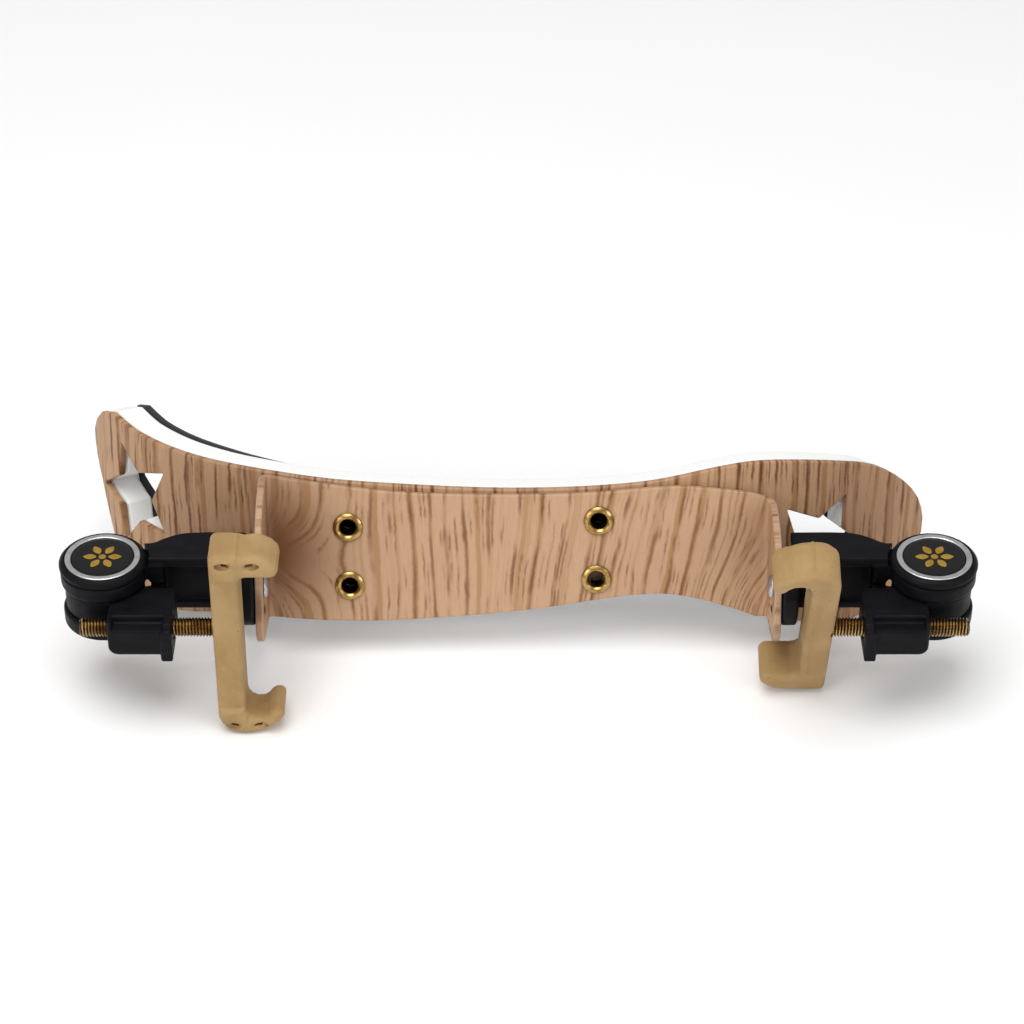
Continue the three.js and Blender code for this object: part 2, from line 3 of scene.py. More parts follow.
import bmesh
import bpy
import numpy as np
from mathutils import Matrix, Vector


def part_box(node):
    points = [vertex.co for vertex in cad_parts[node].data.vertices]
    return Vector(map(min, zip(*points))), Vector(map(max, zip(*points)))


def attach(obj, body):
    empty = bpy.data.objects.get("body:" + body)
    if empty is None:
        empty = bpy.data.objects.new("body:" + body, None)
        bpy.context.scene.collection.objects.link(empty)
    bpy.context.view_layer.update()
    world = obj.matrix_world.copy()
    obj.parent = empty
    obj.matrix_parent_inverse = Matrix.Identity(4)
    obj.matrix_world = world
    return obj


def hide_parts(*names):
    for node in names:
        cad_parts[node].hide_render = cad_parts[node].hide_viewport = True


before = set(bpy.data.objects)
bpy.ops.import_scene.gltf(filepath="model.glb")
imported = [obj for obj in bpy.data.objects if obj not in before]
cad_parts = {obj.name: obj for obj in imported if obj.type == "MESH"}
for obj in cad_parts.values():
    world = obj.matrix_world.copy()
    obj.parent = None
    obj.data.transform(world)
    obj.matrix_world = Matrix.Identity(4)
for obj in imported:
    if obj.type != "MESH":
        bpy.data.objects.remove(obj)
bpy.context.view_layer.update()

MM = 0.001


# ---- Places from the frame, and driving sizes ----
def box_mm(node):
    low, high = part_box(node)
    return np.array(low) / MM, np.array(high) / MM


cap_low, cap_high = box_mm("left_cap")
rod_low, rod_high = box_mm("left_threaded_rod")
AXLE_X = -(cap_low[0] + cap_high[0]) / 2
AXLE_Y = (cap_low[1] + cap_high[1]) / 2
CAP_TOP = cap_high[2]
ROD_FRONT = AXLE_Y - (rod_low[1] + rod_high[1]) / 2
ROD_DROP = CAP_TOP - (rod_low[2] + rod_high[2]) / 2
ARM_HEIGHT = 18.9
ARM_MIDDLE = -ARM_HEIGHT / 2

LEAN = math.radians(17)
PLATE_UP = np.array([0, math.sin(LEAN), math.cos(LEAN)])
PLATE_OUT = np.array([0, -math.cos(LEAN), math.sin(LEAN)])
ACROSS = np.array([1.0, 0, 0])
PLATE_ORIGIN = np.array([0, AXLE_Y + 19, 29.4])
GAP = 0.3
PLATE_THICK = 2.0
FOAM_THICK = 8.0
BACKING_THICK = 2.0
SHEET = 1.8
FLANGE_X = 67.2
FLANGE_REACH = 26.0
BEND_OUTER = 3.0
BEND_INNER = BEND_OUTER - SHEET
BEND_FLAT = math.pi / 2 * (BEND_OUTER + BEND_INNER) / 2
MIDDLE_HALF = FLANGE_X - BEND_OUTER
LEFT_BENDS = [(40, math.inf), (27.2, 155), (80, 68)]
RIGHT_BENDS = [(40, math.inf), (90, 120)]
EAR_RADIUS = 11
HUB_RADIUS = 10
HUB_OUTER = 34.9
HUB_INNER = 38.7
RIVET_HOLE = 1.8
PIN_HOLE = 2.8
PEG_ORBIT = 7.4
PEG_RADIUS = 1.1
PEG_SLOT_HALF = 1.4
PEG_SLOT_SWEEP = 14  # degrees each way
ROD_LENGTH = 36.5
ROD_IN_BAR = 2.0
THREAD_PITCH = 0.8
THREAD_RADIUS = 2.5
THREAD_ROOT = 2.04
FORK_BACK = -3.0
FORK_FRONT = 9.0
BAR_RECESS = 1.2
SLOT_UP = 25.6
EYELET_HOLE = 3.0
EYELET_ROOM = 4.25
STAR_RADIUS = 14.5
STAR_NECK = 0.49
STARS = [(-103.2, 7.0, 18), (80.4, -1.6, 44)]  # x, up, turn in degrees
PLATE_SLICE = 2.5
BRACKET_SLICE = 1.1
ARM_CELL = 0.36
FORK_CELL = 0.33
CAMERA_ELEVATION = math.radians(36.39)
CAMERA_TARGET = (-1.63, 0, 40.6)
CAMERA_AWAY = 0.8
CAMERA_LENS = 108.07
SIDES = [
    {"name": "left", "sign": -1, "bar": 29.3, "turn": 0.0, "flip": False},
    {"name": "right", "sign": 1, "bar": 26.3, "turn": math.radians(22), "flip": True},
]
EYELETS = {
    "left_upper": (-44.5, 6.2), "left_lower": (-44.2, -10.0),
    "right_upper": (21.0, 8.0), "right_lower": (20.5, -8.2),
}


# ---- Shaders ----
class Shader:
    """A procedural material under construction. Lengths inside it are millimetres."""

    def __init__(self, name):
        self.material = bpy.data.materials.new(name)
        self.material.use_nodes = True
        self.nodes = self.material.node_tree.nodes
        self.links = self.material.node_tree.links
        self.surface = self.nodes["Principled BSDF"]

    def put(self, socket, value):
        if isinstance(value, bpy.types.NodeSocket):
            self.links.new(value, socket)
        elif isinstance(value, tuple) and socket.type == "RGBA":
            socket.default_value = (*value, 1.0)
        else:
            socket.default_value = value

    def place(self):
        """The point on the piece, as it was at rest."""
        return self.scaled(self.nodes.new("ShaderNodeTexCoord").outputs["Object"], (1 / MM,) * 3)

    def flat_place(self):
        """The point on a sheet before it was bent: along, up and behind the face."""
        node = self.nodes.new("ShaderNodeAttribute")
        node.attribute_name = "flat"
        return node.outputs["Vector"]

    def scaled(self, vector, factors):
        node = self.nodes.new("ShaderNodeVectorMath")
        node.operation = "MULTIPLY"
        self.put(node.inputs[0], vector)
        node.inputs[1].default_value = factors
        return node.outputs[0]

    def split(self, vector):
        node = self.nodes.new("ShaderNodeSeparateXYZ")
        self.put(node.inputs[0], vector)
        return node.outputs[0], node.outputs[1], node.outputs[2]

    def math(self, operation, a, b=0.0, c=0.0, clamp=False):
        node = self.nodes.new("ShaderNodeMath")
        node.operation = operation
        node.use_clamp = clamp
        for socket, value in zip(node.inputs, (a, b, c)):
            self.put(socket, value)
        return node.outputs[0]

    def noise(self, vector, scale, detail=2.0, roughness=0.5):
        node = self.nodes.new("ShaderNodeTexNoise")
        self.put(node.inputs["Vector"], vector)
        node.inputs["Scale"].default_value = scale
        node.inputs["Detail"].default_value = detail
        node.inputs["Roughness"].default_value = roughness
        return node.outputs["Fac"]

    def noise_line(self, value, scale, detail=0.0):
        node = self.nodes.new("ShaderNodeTexNoise")
        node.noise_dimensions = "1D"
        self.put(node.inputs["W"], value)
        node.inputs["Scale"].default_value = scale
        node.inputs["Detail"].default_value = detail
        return node.outputs["Fac"]

    def edge_distance(self, value, scale):
        """Distance to the nearest of a row of unevenly spaced lines, in shares of their spacing."""
        node = self.nodes.new("ShaderNodeTexVoronoi")
        node.voronoi_dimensions = "1D"
        node.feature = "DISTANCE_TO_EDGE"
        self.put(node.inputs["W"], value)
        node.inputs["Scale"].default_value = scale
        return node.outputs["Distance"]

    def cells(self, vector, scale):
        node = self.nodes.new("ShaderNodeTexVoronoi")
        self.put(node.inputs["Vector"], vector)
        node.inputs["Scale"].default_value = scale
        return node.outputs["Distance"]

    def span(self, value, low, high, to_low=0.0, to_high=1.0):
        node = self.nodes.new("ShaderNodeMapRange")
        node.interpolation_type = "SMOOTHSTEP"
        self.put(node.inputs["Value"], value)
        for name, number in zip(("From Min", "From Max", "To Min", "To Max"), (low, high, to_low, to_high)):
            node.inputs[name].default_value = number
        return node.outputs["Result"]

    def mix(self, share, a, b):
        node = self.nodes.new("ShaderNodeMix")
        node.data_type = "RGBA"
        self.put(node.inputs[0], share)
        self.put(node.inputs[6], a)
        self.put(node.inputs[7], b)
        return node.outputs[2]

    def bump(self, height, distance):
        """Distance is the height, in millimetres, of a height value of 1."""
        node = self.nodes.new("ShaderNodeBump")
        node.inputs["Strength"].default_value = 1.0
        node.inputs["Distance"].default_value = distance * MM
        self.put(node.inputs["Height"], height)
        self.links.new(node.outputs[0], self.surface.inputs["Normal"])

    def done(self, **inputs):
        for name, value in inputs.items():
            self.put(self.surface.inputs[name.replace("_", " ").title()], value)
        return self.material


def srgb(red, green, blue):
    def linear(value):
        share = value / 255
        return share / 12.92 if share <= 0.04045 else ((share + 0.055) / 1.055) ** 2.4
    return linear(red), linear(green), linear(blue)


def set_input(material_shader, name, value):
    material_shader.surface.inputs[name].default_value = value


def bulge(shader, along, up, centre, spread, height):
    """A smooth hill over the sheet, which bends the grain lines around it, or weighs a patch of painted
    shade.
    """
    a = shader.math("DIVIDE", shader.math("SUBTRACT", along, centre[0]), spread[0])
    b = shader.math("DIVIDE", shader.math("SUBTRACT", up, centre[1]), spread[1])
    square = shader.math("ADD", shader.math("MULTIPLY", a, a), shader.math("MULTIPLY", b, b))
    hill = shader.math("POWER", math.e, shader.math("MULTIPLY", square, -1.0))
    return shader.math("MULTIPLY", hill, height)


def grain_material(name, hills, tilt, painted_shade_hills, spacing, line_strength, base, deep, streak, plain_behind):
    """Printed wood grain: dark streaks run up the sheet, wander a little, and bend around hills."""
    s = Shader(name)
    flat = s.flat_place()
    along, up, behind = s.split(flat)
    wander = s.math("SUBTRACT", s.noise(s.scaled(flat, (0.06, 0.03, 0)), 1.0, 2.0), 0.5)
    jitter = s.math("SUBTRACT", s.noise(s.scaled(flat, (0.5, 0.45, 0)), 1.0, 3.0), 0.5)
    line = s.math("ADD", along, s.math("MULTIPLY", wander, 4.5))
    line = s.math("ADD", line, s.math("MULTIPLY", jitter, 0.55))
    lean = s.math("MULTIPLY", s.span(along, -25, 30, 0.02, -tilt), up)
    line = s.math("ADD", line, lean)
    for centre, spread, height in hills:
        line = s.math("ADD", line, bulge(s, along, up, centre, spread, height))

    fibre_place = s.scaled(flat, (2.2, 0.16, 0))
    fibre = s.noise(fibre_place, 1.0, 4.0, 0.6)
    bands = s.noise_line(line, 0.34, 3.0)
    grit = s.noise(s.scaled(flat, (5.0, 1.3, 0)), 1.0, 3.0, 0.7)
    fade = s.noise(s.scaled(flat, (0.16, 0.06, 0)), 1.0, 2.0)
    fade_fine = s.noise(s.scaled(flat, (0.9, 0.22, 0)), 1.0, 2.0)

    bold = s.edge_distance(line, 1 / spacing)
    width = s.math("ADD", s.math("MULTIPLY", fade_fine, 0.1), s.math("MULTIPLY", grit, 0.13))
    bold = s.math("SUBTRACT", 1.25, s.math("DIVIDE", bold, width), clamp=True)
    bold = s.math("MULTIPLY", bold, s.span(fade, 0.4, 0.58, 0.12, 1.0))
    thin = s.edge_distance(s.math("ADD", line, 31.7), 2.9 / spacing)
    thin = s.math("SUBTRACT", 1.2, s.math("DIVIDE", thin, s.math("MULTIPLY", grit, 0.44)), clamp=True)
    cluster = s.noise(s.scaled(flat, (0.11, 0.05, 0)), 1.3, 1.0)
    thin = s.math("MULTIPLY", thin, s.span(cluster, 0.47, 0.6, 0.0, 0.9))
    thin = s.math("MULTIPLY", thin, s.span(fade_fine, 0.35, 0.6, 0.25, 1.0))

    shade = s.mix(s.span(bands, 0.48, 0.68, 0.0, 0.8), base, deep)
    shade = s.mix(s.span(fibre, 0.45, 0.75, 0.0, 0.3), shade, deep)
    # Painted shade: darker patches over the sheet's bends, where it turns away from the light.
    for centre, spread, share in painted_shade_hills:
        shade = s.mix(bulge(s, along, up, centre, spread, share), shade, srgb(106, 66, 33))
    pores = s.cells(s.scaled(flat, (1.7, 0.55, 0)), 1.0)
    shade = s.mix(s.span(pores, 0.05, 0.16, 0.28, 0.0), shade, streak)
    shade = s.mix(s.math("MULTIPLY", thin, line_strength), shade, streak)
    shade = s.mix(s.math("MULTIPLY", bold, line_strength), shade, streak)
    if plain_behind:
        bare = s.mix(s.noise(flat, 0.9, 3.0), srgb(176, 158, 152), srgb(150, 131, 128))
        shade = s.mix(s.span(behind, plain_behind - 0.5, plain_behind - 0.1), shade, bare)
    skin = s.noise(s.scaled(flat, (1, 1, 1)), 2.6, 3.0)
    height = s.math("SUBTRACT", s.math("MULTIPLY", skin, 0.5), s.math("MULTIPLY", bold, 0.5))
    s.bump(height, 0.02)
    rough = s.math("ADD", 0.36, s.math("MULTIPLY", fibre, 0.16))
    set_input(s, "Specular IOR Level", 0.3)
    return s.done(base_color=shade, roughness=rough)


def foam_material():
    s = Shader("white_foam")
    place = s.place()
    pores = s.cells(place, 2.4)
    soft = s.noise(place, 0.12, 3.0)
    marks = s.noise(place, 0.9, 4.0)
    shade = s.mix(soft, srgb(247, 247, 245), srgb(240, 240, 238))
    # Painted shade: the foam is darker inside its pores.
    shade = s.mix(s.span(pores, 0.02, 0.2, 0.35, 0.0), shade, srgb(214, 214, 211))
    height = s.math("ADD", s.math("MULTIPLY", pores, 0.8), s.math("MULTIPLY", marks, 0.4))
    s.bump(height, 0.1)
    set_input(s, "Sheen Weight", 0.15)
    set_input(s, "Subsurface Weight", 0.08)
    set_input(s, "Subsurface Scale", 0.002)
    return s.done(base_color=shade, roughness=s.span(marks, 0.3, 0.7, 0.82, 0.95))


def backing_material():
    s = Shader("black_backing")
    place = s.place()
    pores = s.cells(place, 3.4)
    marks = s.noise(place, 0.5, 4.0)
    shade = s.mix(marks, srgb(24, 24, 27), srgb(38, 38, 41))
    # Painted shade: the backing is darker inside its pores.
    shade = s.mix(s.span(pores, 0.02, 0.22, 0.5, 0.0), shade, srgb(10, 10, 12))
    s.bump(s.math("ADD", pores, s.math("MULTIPLY", marks, 0.5)), 0.08)
    set_input(s, "Sheen Weight", 0.1)
    return s.done(base_color=shade, roughness=s.span(marks, 0.3, 0.7, 0.75, 0.92))


def moulded_material(name, dark, light, rough, grit):
    """Moulded plastic: fine spark-eroded texture, faint flow marks and rubbed patches."""
    s = Shader(name)
    place = s.place()
    texture = s.noise(place, 5.5, 3.0, 0.6)
    flow = s.noise(s.scaled(place, (0.12, 0.35, 0.5)), 1.0, 3.0)
    rubbed = s.noise(place, 0.25, 4.0)
    shade = s.mix(s.span(flow, 0.3, 0.7), dark, light)
    s.bump(texture, grit)
    set_input(s, "Specular IOR Level", 0.09)
    roughness = s.math("ADD", s.span(rubbed, 0.35, 0.7, rough - 0.06, rough + 0.08),
                       s.math("MULTIPLY", texture, 0.08))
    return s.done(base_color=shade, roughness=roughness)


def metal_material(name, light, dark, rough, stretch, dirt=0.0, root=None):
    """Metal with fine turning marks, tarnish in patches, and dirt in its small hollows.
    A thread gets painted shade at its root: root is the radius there, about the rods' axis."""
    s = Shader(name)
    place = s.place()
    marks = s.noise(s.scaled(place, stretch), 1.0, 3.0)
    patches = s.noise(place, 0.45, 4.0)
    shade = s.mix(s.span(patches, 0.35, 0.72), light, dark)
    if dirt:
        shade = s.mix(s.span(marks, 0.5, 0.8, 0.0, dirt), shade, srgb(60, 38, 14))
    # Painted shade: the thread darkens towards its root, between the crests.
    if root:
        _, y, z = s.split(place)
        y = s.math("SUBTRACT", y, AXLE_Y - ROD_FRONT)
        z = s.math("SUBTRACT", z, CAP_TOP - ROD_DROP)
        radius = s.math("SQRT", s.math("ADD", s.math("MULTIPLY", y, y), s.math("MULTIPLY", z, z)))
        shade = s.mix(s.span(radius, root + 0.04, root + 0.36, 0.92, 0.0), shade, srgb(40, 26, 10))
    s.bump(marks, 0.006)
    set_input(s, "Metallic", 1.0)
    return s.done(base_color=shade, roughness=s.span(patches, 0.3, 0.75, rough, rough + 0.14))


def rubber_material():
    s = Shader("fork_rubber")
    place = s.place()
    soft = s.noise(place, 0.1, 3.0)
    bloom = s.noise(place, 0.55, 4.0, 0.6)
    texture = s.noise(place, 4.5, 3.0)
    specks = s.cells(s.scaled(place, (0.34, 0.34, 0.3)), 1.0)
    shade = s.mix(s.span(soft, 0.35, 0.65), srgb(167, 137, 92), srgb(155, 124, 79))
    shade = s.mix(s.span(bloom, 0.5, 0.75, 0.0, 0.3), shade, srgb(180, 152, 108))
    shade = s.mix(s.span(specks, 0.035, 0.085, 0.75, 0.0), shade, srgb(92, 64, 30))
    s.bump(s.math("ADD", texture, s.math("MULTIPLY", bloom, 0.6)), 0.035)
    set_input(s, "Specular IOR Level", 0.3)
    return s.done(base_color=shade, roughness=s.span(bloom, 0.35, 0.7, 0.56, 0.7))


def badge_material():
    s = Shader("badge_gloss")
    place = s.place()
    dust = s.noise(place, 3.0, 5.0, 0.7)
    haze = s.noise(place, 0.3, 3.0)
    shade = s.mix(s.span(dust, 0.62, 0.8, 0.0, 0.4), srgb(10, 9, 12), srgb(34, 32, 36))
    s.bump(haze, 0.01)
    set_input(s, "Specular IOR Level", 0.25)
    set_input(s, "Coat Weight", 0.1)
    set_input(s, "Coat Roughness", 0.06)
    return s.done(base_color=shade, roughness=s.span(haze, 0.3, 0.7, 0.16, 0.26))


# The fourth argument of each lists patches of painted shade over the sheet's bends.
PLATE_GRAIN = grain_material(
    "plate_grain", [], 0.05, [((-78, 0), (22, 30), 0.3), ((92, 0), (20, 30), 0.4)], 4.4, 0.9,
    srgb(180, 143, 110), srgb(146, 104, 67), srgb(90, 48, 12), 0,
)
BRACKET_GRAIN = grain_material(
    "bracket_grain",
    [((-62, -3), (13, 9), 11.0), ((71, -21), (15, 15), 21.0)], 0.17,
    [((-63, 0), (14, 18), 1.0), ((66, 2), (12, 16), 0.3)], 5.6, 0.72,
    srgb(187, 151, 120), srgb(160, 120, 80), srgb(110, 66, 26), SHEET,
)
FOAM = foam_material()
BACKING = backing_material()
BLACK = moulded_material("black_plastic", srgb(13, 12, 16), srgb(19, 18, 22), 0.44, 0.02)
CORE = moulded_material("fork_core", srgb(58, 44, 30), srgb(70, 54, 38), 0.5, 0.02)
BADGE = badge_material()
GOLD = metal_material("gold_inlay", srgb(222, 182, 84), srgb(196, 152, 58), 0.3, (4, 4, 4))
RING = metal_material("ring_silver", srgb(214, 214, 213), srgb(186, 186, 187), 0.32, (6, 6, 1))
STEEL = metal_material("steel", srgb(190, 190, 196), srgb(150, 150, 158), 0.28, (5, 5, 5))
BRASS = metal_material("eyelet_brass", srgb(186, 154, 96), srgb(140, 108, 58), 0.2, (5, 5, 5), 0.25)
THREAD = metal_material("rod_brass", srgb(206, 176, 128), srgb(160, 130, 86), 0.22, (1, 3, 3), 0.2,
                        THREAD_ROOT)
RUBBER = rubber_material()


# ---- Mesh helpers ----
def make_piece(name, points, faces, material, body, replaced=(), flat=None, sharp=35):
    """A piece from points in world millimetres."""
    mesh = bpy.data.meshes.new(name)
    mesh.from_pydata([tuple(p) for p in np.asarray(points) * MM], [], [list(f) for f in faces])
    mesh.validate()
    if flat is not None:
        attribute = mesh.attributes.new("flat", "FLOAT_VECTOR", "POINT")
        attribute.data.foreach_set("vector", np.asarray(flat, np.float32).ravel())
    mesh.shade_smooth()
    mesh.set_sharp_from_angle(angle=math.radians(sharp))
    mesh.materials.append(material)
    piece = bpy.data.objects.new(name, mesh)
    bpy.context.scene.collection.objects.link(piece)
    weighted = piece.modifiers.new("weighted_normals", "WEIGHTED_NORMAL")
    weighted.keep_sharp = True
    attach(piece, body)
    if replaced:
        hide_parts(*replaced)
    return piece


def filleted(points, radius, closed=False, steps=4):
    """The outline with each corner rounded."""
    count = len(points)
    rounded = []
    for i, corner in enumerate(points):
        if not closed and i in (0, count - 1):
            rounded.append(tuple(corner))
            continue
        here = np.array(corner, float)
        before = np.array(points[i - 1], float) - here
        after = np.array(points[(i + 1) % count], float) - here
        start = here + before * min(0.5, radius / max(np.linalg.norm(before), 1e-9))
        end = here + after * min(0.5, radius / max(np.linalg.norm(after), 1e-9))
        for k in range(steps + 1):
            t = k / steps
            rounded.append(tuple((1 - t) ** 2 * start + 2 * t * (1 - t) * here + t * t * end))
    return rounded


def arc(centre, radius, start, end, steps=12):
    angles = [math.radians(start + (end - start) * k / steps) for k in range(steps + 1)]
    return [(centre[0] + radius * math.cos(a), centre[1] + radius * math.sin(a)) for a in angles]


def circle(centre, radius, steps=40):
    return arc(centre, radius, 0, 360, steps)[:-1]


def smooth_row(points, count, closed=False):
    """Evenly spaced points on a centripetal Catmull-Rom curve through the points."""
    p = [np.array(q, float) for q in points]
    n = len(p)
    dense = []
    for i in range(n if closed else n - 1):
        p1, p2 = p[i], p[(i + 1) % n]
        p0 = p[i - 1] if closed or i > 0 else 2 * p1 - p2
        p3 = p[(i + 2) % n] if closed or i + 2 < n else 2 * p2 - p1
        knots = [0.0]
        for a, b in ((p0, p1), (p1, p2), (p2, p3)):
            knots.append(knots[-1] + max(np.linalg.norm(b - a), 1e-9) ** 0.5)
        t0, t1, t2, t3 = knots
        for t in np.linspace(t1, t2, 24, endpoint=False):
            a1 = (t1 - t) / (t1 - t0) * p0 + (t - t0) / (t1 - t0) * p1
            a2 = (t2 - t) / (t2 - t1) * p1 + (t - t1) / (t2 - t1) * p2
            a3 = (t3 - t) / (t3 - t2) * p2 + (t - t2) / (t3 - t2) * p3
            b1 = (t2 - t) / (t2 - t0) * a1 + (t - t0) / (t2 - t0) * a2
            b2 = (t3 - t) / (t3 - t1) * a2 + (t - t1) / (t3 - t1) * a3
            dense.append((t2 - t) / (t2 - t1) * b1 + (t - t1) / (t2 - t1) * b2)
    dense.append(p[0] if closed else p[-1])
    dense = np.array(dense)
    run = np.concatenate([[0], np.cumsum(np.linalg.norm(np.diff(dense, axis=0), axis=1))])
    wanted = np.linspace(0, run[-1], count + 1)
    row = np.stack([np.interp(wanted, run, dense[:, k]) for k in (0, 1)], axis=1)
    return row[:-1] if closed else row


def signed_area(loop):
    a = np.asarray(loop, float)
    b = np.roll(a, -1, axis=0)
    return 0.5 * float(np.sum(a[:, 0] * b[:, 1] - b[:, 0] * a[:, 1]))


def flat_sheet(loops, thick, edge_radius, spacing):
    """A sheet cut to the first loop with the others as holes, with rounded edges: (points, faces).
    Its face looks along +z from z = 0, and it is sliced across x every `spacing` so that it can bend."""
    data = bpy.data.curves.new("cut", "CURVE")
    data.dimensions = "2D"
    data.fill_mode = "BOTH"
    data.extrude = thick / 2 - edge_radius
    data.bevel_depth = edge_radius
    data.offset = -edge_radius
    data.bevel_resolution = 2
    for index, loop in enumerate(loops):
        points = np.asarray(loop, float)
        if (signed_area(points) > 0) != (index == 0):
            points = points[::-1]
        spline = data.splines.new("POLY")
        spline.points.add(len(points) - 1)
        spline.points.foreach_set("co", [c for x, y in points for c in (x, y, 0.0, 1.0)])
        spline.use_cyclic_u = True
    cutter = bpy.data.objects.new("cut", data)
    mesh = bpy.data.meshes.new_from_object(cutter)
    bm = bmesh.new()
    bm.from_mesh(mesh)
    bmesh.ops.remove_doubles(bm, verts=bm.verts, dist=0.002)
    xs = [v.co.x for v in bm.verts]
    for x in np.arange(math.ceil(min(xs) / spacing), max(xs) / spacing) * spacing:
        everything = bm.verts[:] + bm.edges[:] + bm.faces[:]
        bmesh.ops.bisect_plane(bm, geom=everything, dist=1e-4, plane_co=(x, 0, 0), plane_no=(1, 0, 0))
    bmesh.ops.recalc_face_normals(bm, faces=bm.faces)
    points = np.array([v.co[:] for v in bm.verts])
    points[:, 2] -= thick / 2
    bm.verts.index_update()
    faces = [[v.index for v in f.verts] for f in bm.faces]
    bm.free()
    bpy.data.meshes.remove(mesh)
    bpy.data.objects.remove(cutter)
    bpy.data.curves.remove(data)
    return points, faces


def turned(profile, segments=72, closed=False):
    """A turned solid about z from [radius, height] points: (points, faces)."""
    points = []
    rings = []
    for r, h in profile:
        if r < 1e-6:
            rings.append([len(points)] * segments)
            points.append((0.0, 0.0, h))
            continue
        rings.append(list(range(len(points), len(points) + segments)))
        for k in range(segments):
            a = 2 * math.pi * k / segments
            points.append((r * math.cos(a), r * math.sin(a), h))
    faces = []
    pairs = list(zip(rings, rings[1:] + rings[:1]))
    for low, high in pairs if closed else pairs[:-1]:
        for k in range(segments):
            n = (k + 1) % segments
            face = [low[k], low[n], high[n], high[k]]
            unique = list(dict.fromkeys(face))
            if len(unique) > 2:
                faces.append(unique)
    return np.array(points), faces


def facing_out(points, faces):
    """The faces turned so that they look out of the closed solid."""
    p = np.asarray(points, float)
    volume = 0.0
    for f in faces:
        for a, b in zip(f[1:-1], f[2:]):
            volume += float(np.dot(p[f[0]], np.cross(p[a], p[b])))
    return faces if volume > 0 else [list(reversed(f)) for f in faces]


def pointed(points, centre, axis):
    """The points turned from z to `axis` and moved to `centre`."""
    turn = Vector((0, 0, 1)).rotation_difference(Vector(axis)).to_matrix()
    return np.asarray(points) @ np.array(turn).T + np.asarray(centre, float)


def end_place(side, points):
    """From an end's own frame (inboard, back, below the cap) to the world."""
    p = np.array(points, float)
    p[:, 0] = side["sign"] * (AXLE_X - p[:, 0])
    p[:, 1] += AXLE_Y
    p[:, 2] += CAP_TOP
    return p


def end_piece(side, part, points, faces, material, slot, body=None, sharp=35, replaced=None):
    name = f"{side['name']}_{part}"
    placed = end_place(side, points)
    nodes = (name,) if replaced is None else replaced
    return make_piece(
        f"{name}_detailed", placed, facing_out(placed, faces), material,
        f"{side['name']}_{body or 'arm'}", nodes, sharp=sharp,
    )


# ---- Solids from distance fields, for moulded shapes with soft edges ----
def polygon(loop):
    """The signed distance in the plane to a closed outline."""
    a = np.asarray(loop, float)
    b = np.roll(a, -1, axis=0)

    def distance(x, y):
        nearest = np.full(np.shape(x), 1e18)
        inside = np.zeros(np.shape(x), bool)
        for (ax, ay), (bx, by) in zip(a, b):
            ex, ey = bx - ax, by - ay
            wx, wy = x - ax, y - ay
            t = np.clip((wx * ex + wy * ey) / max(ex * ex + ey * ey, 1e-12), 0, 1)
            nearest = np.minimum(nearest, (wx - t * ex) ** 2 + (wy - t * ey) ** 2)
            if ay != by:
                crosses = (ay > y) != (by > y)
                inside ^= crosses & (x < ax + (y - ay) * ex / ey)
        return np.where(inside, -1, 1) * np.sqrt(nearest)

    return distance


def swept(flat_distance, along, low, high, radius):
    """A flat shape carried from low to high, with its edges rounded."""
    a = flat_distance + radius
    b = np.abs(along - (low + high) / 2) - (high - low) / 2 + radius
    return np.minimum(np.maximum(a, b), 0) + np.hypot(np.maximum(a, 0), np.maximum(b, 0)) - radius


def block_field(x, y, z, xs, ys, zs, radius):
    q = [np.abs(v - (lo + hi) / 2) - (hi - lo) / 2 + radius for v, (lo, hi) in zip((x, y, z), (xs, ys, zs))]
    outside = np.sqrt(sum(np.maximum(v, 0) ** 2 for v in q))
    return outside + np.minimum(np.maximum.reduce(q), 0) - radius


def blended(a, b, soft):
    share = np.clip(0.5 + 0.5 * (b - a) / soft, 0, 1)
    return b + (a - b) * share - soft * share * (1 - share)


def blended_all(fields, soft):
    whole = fields[0]
    for field in fields[1:]:
        whole = blended(whole, field, soft)
    return whole


def carved(a, b, soft):
    return -blended(-a, b, soft)


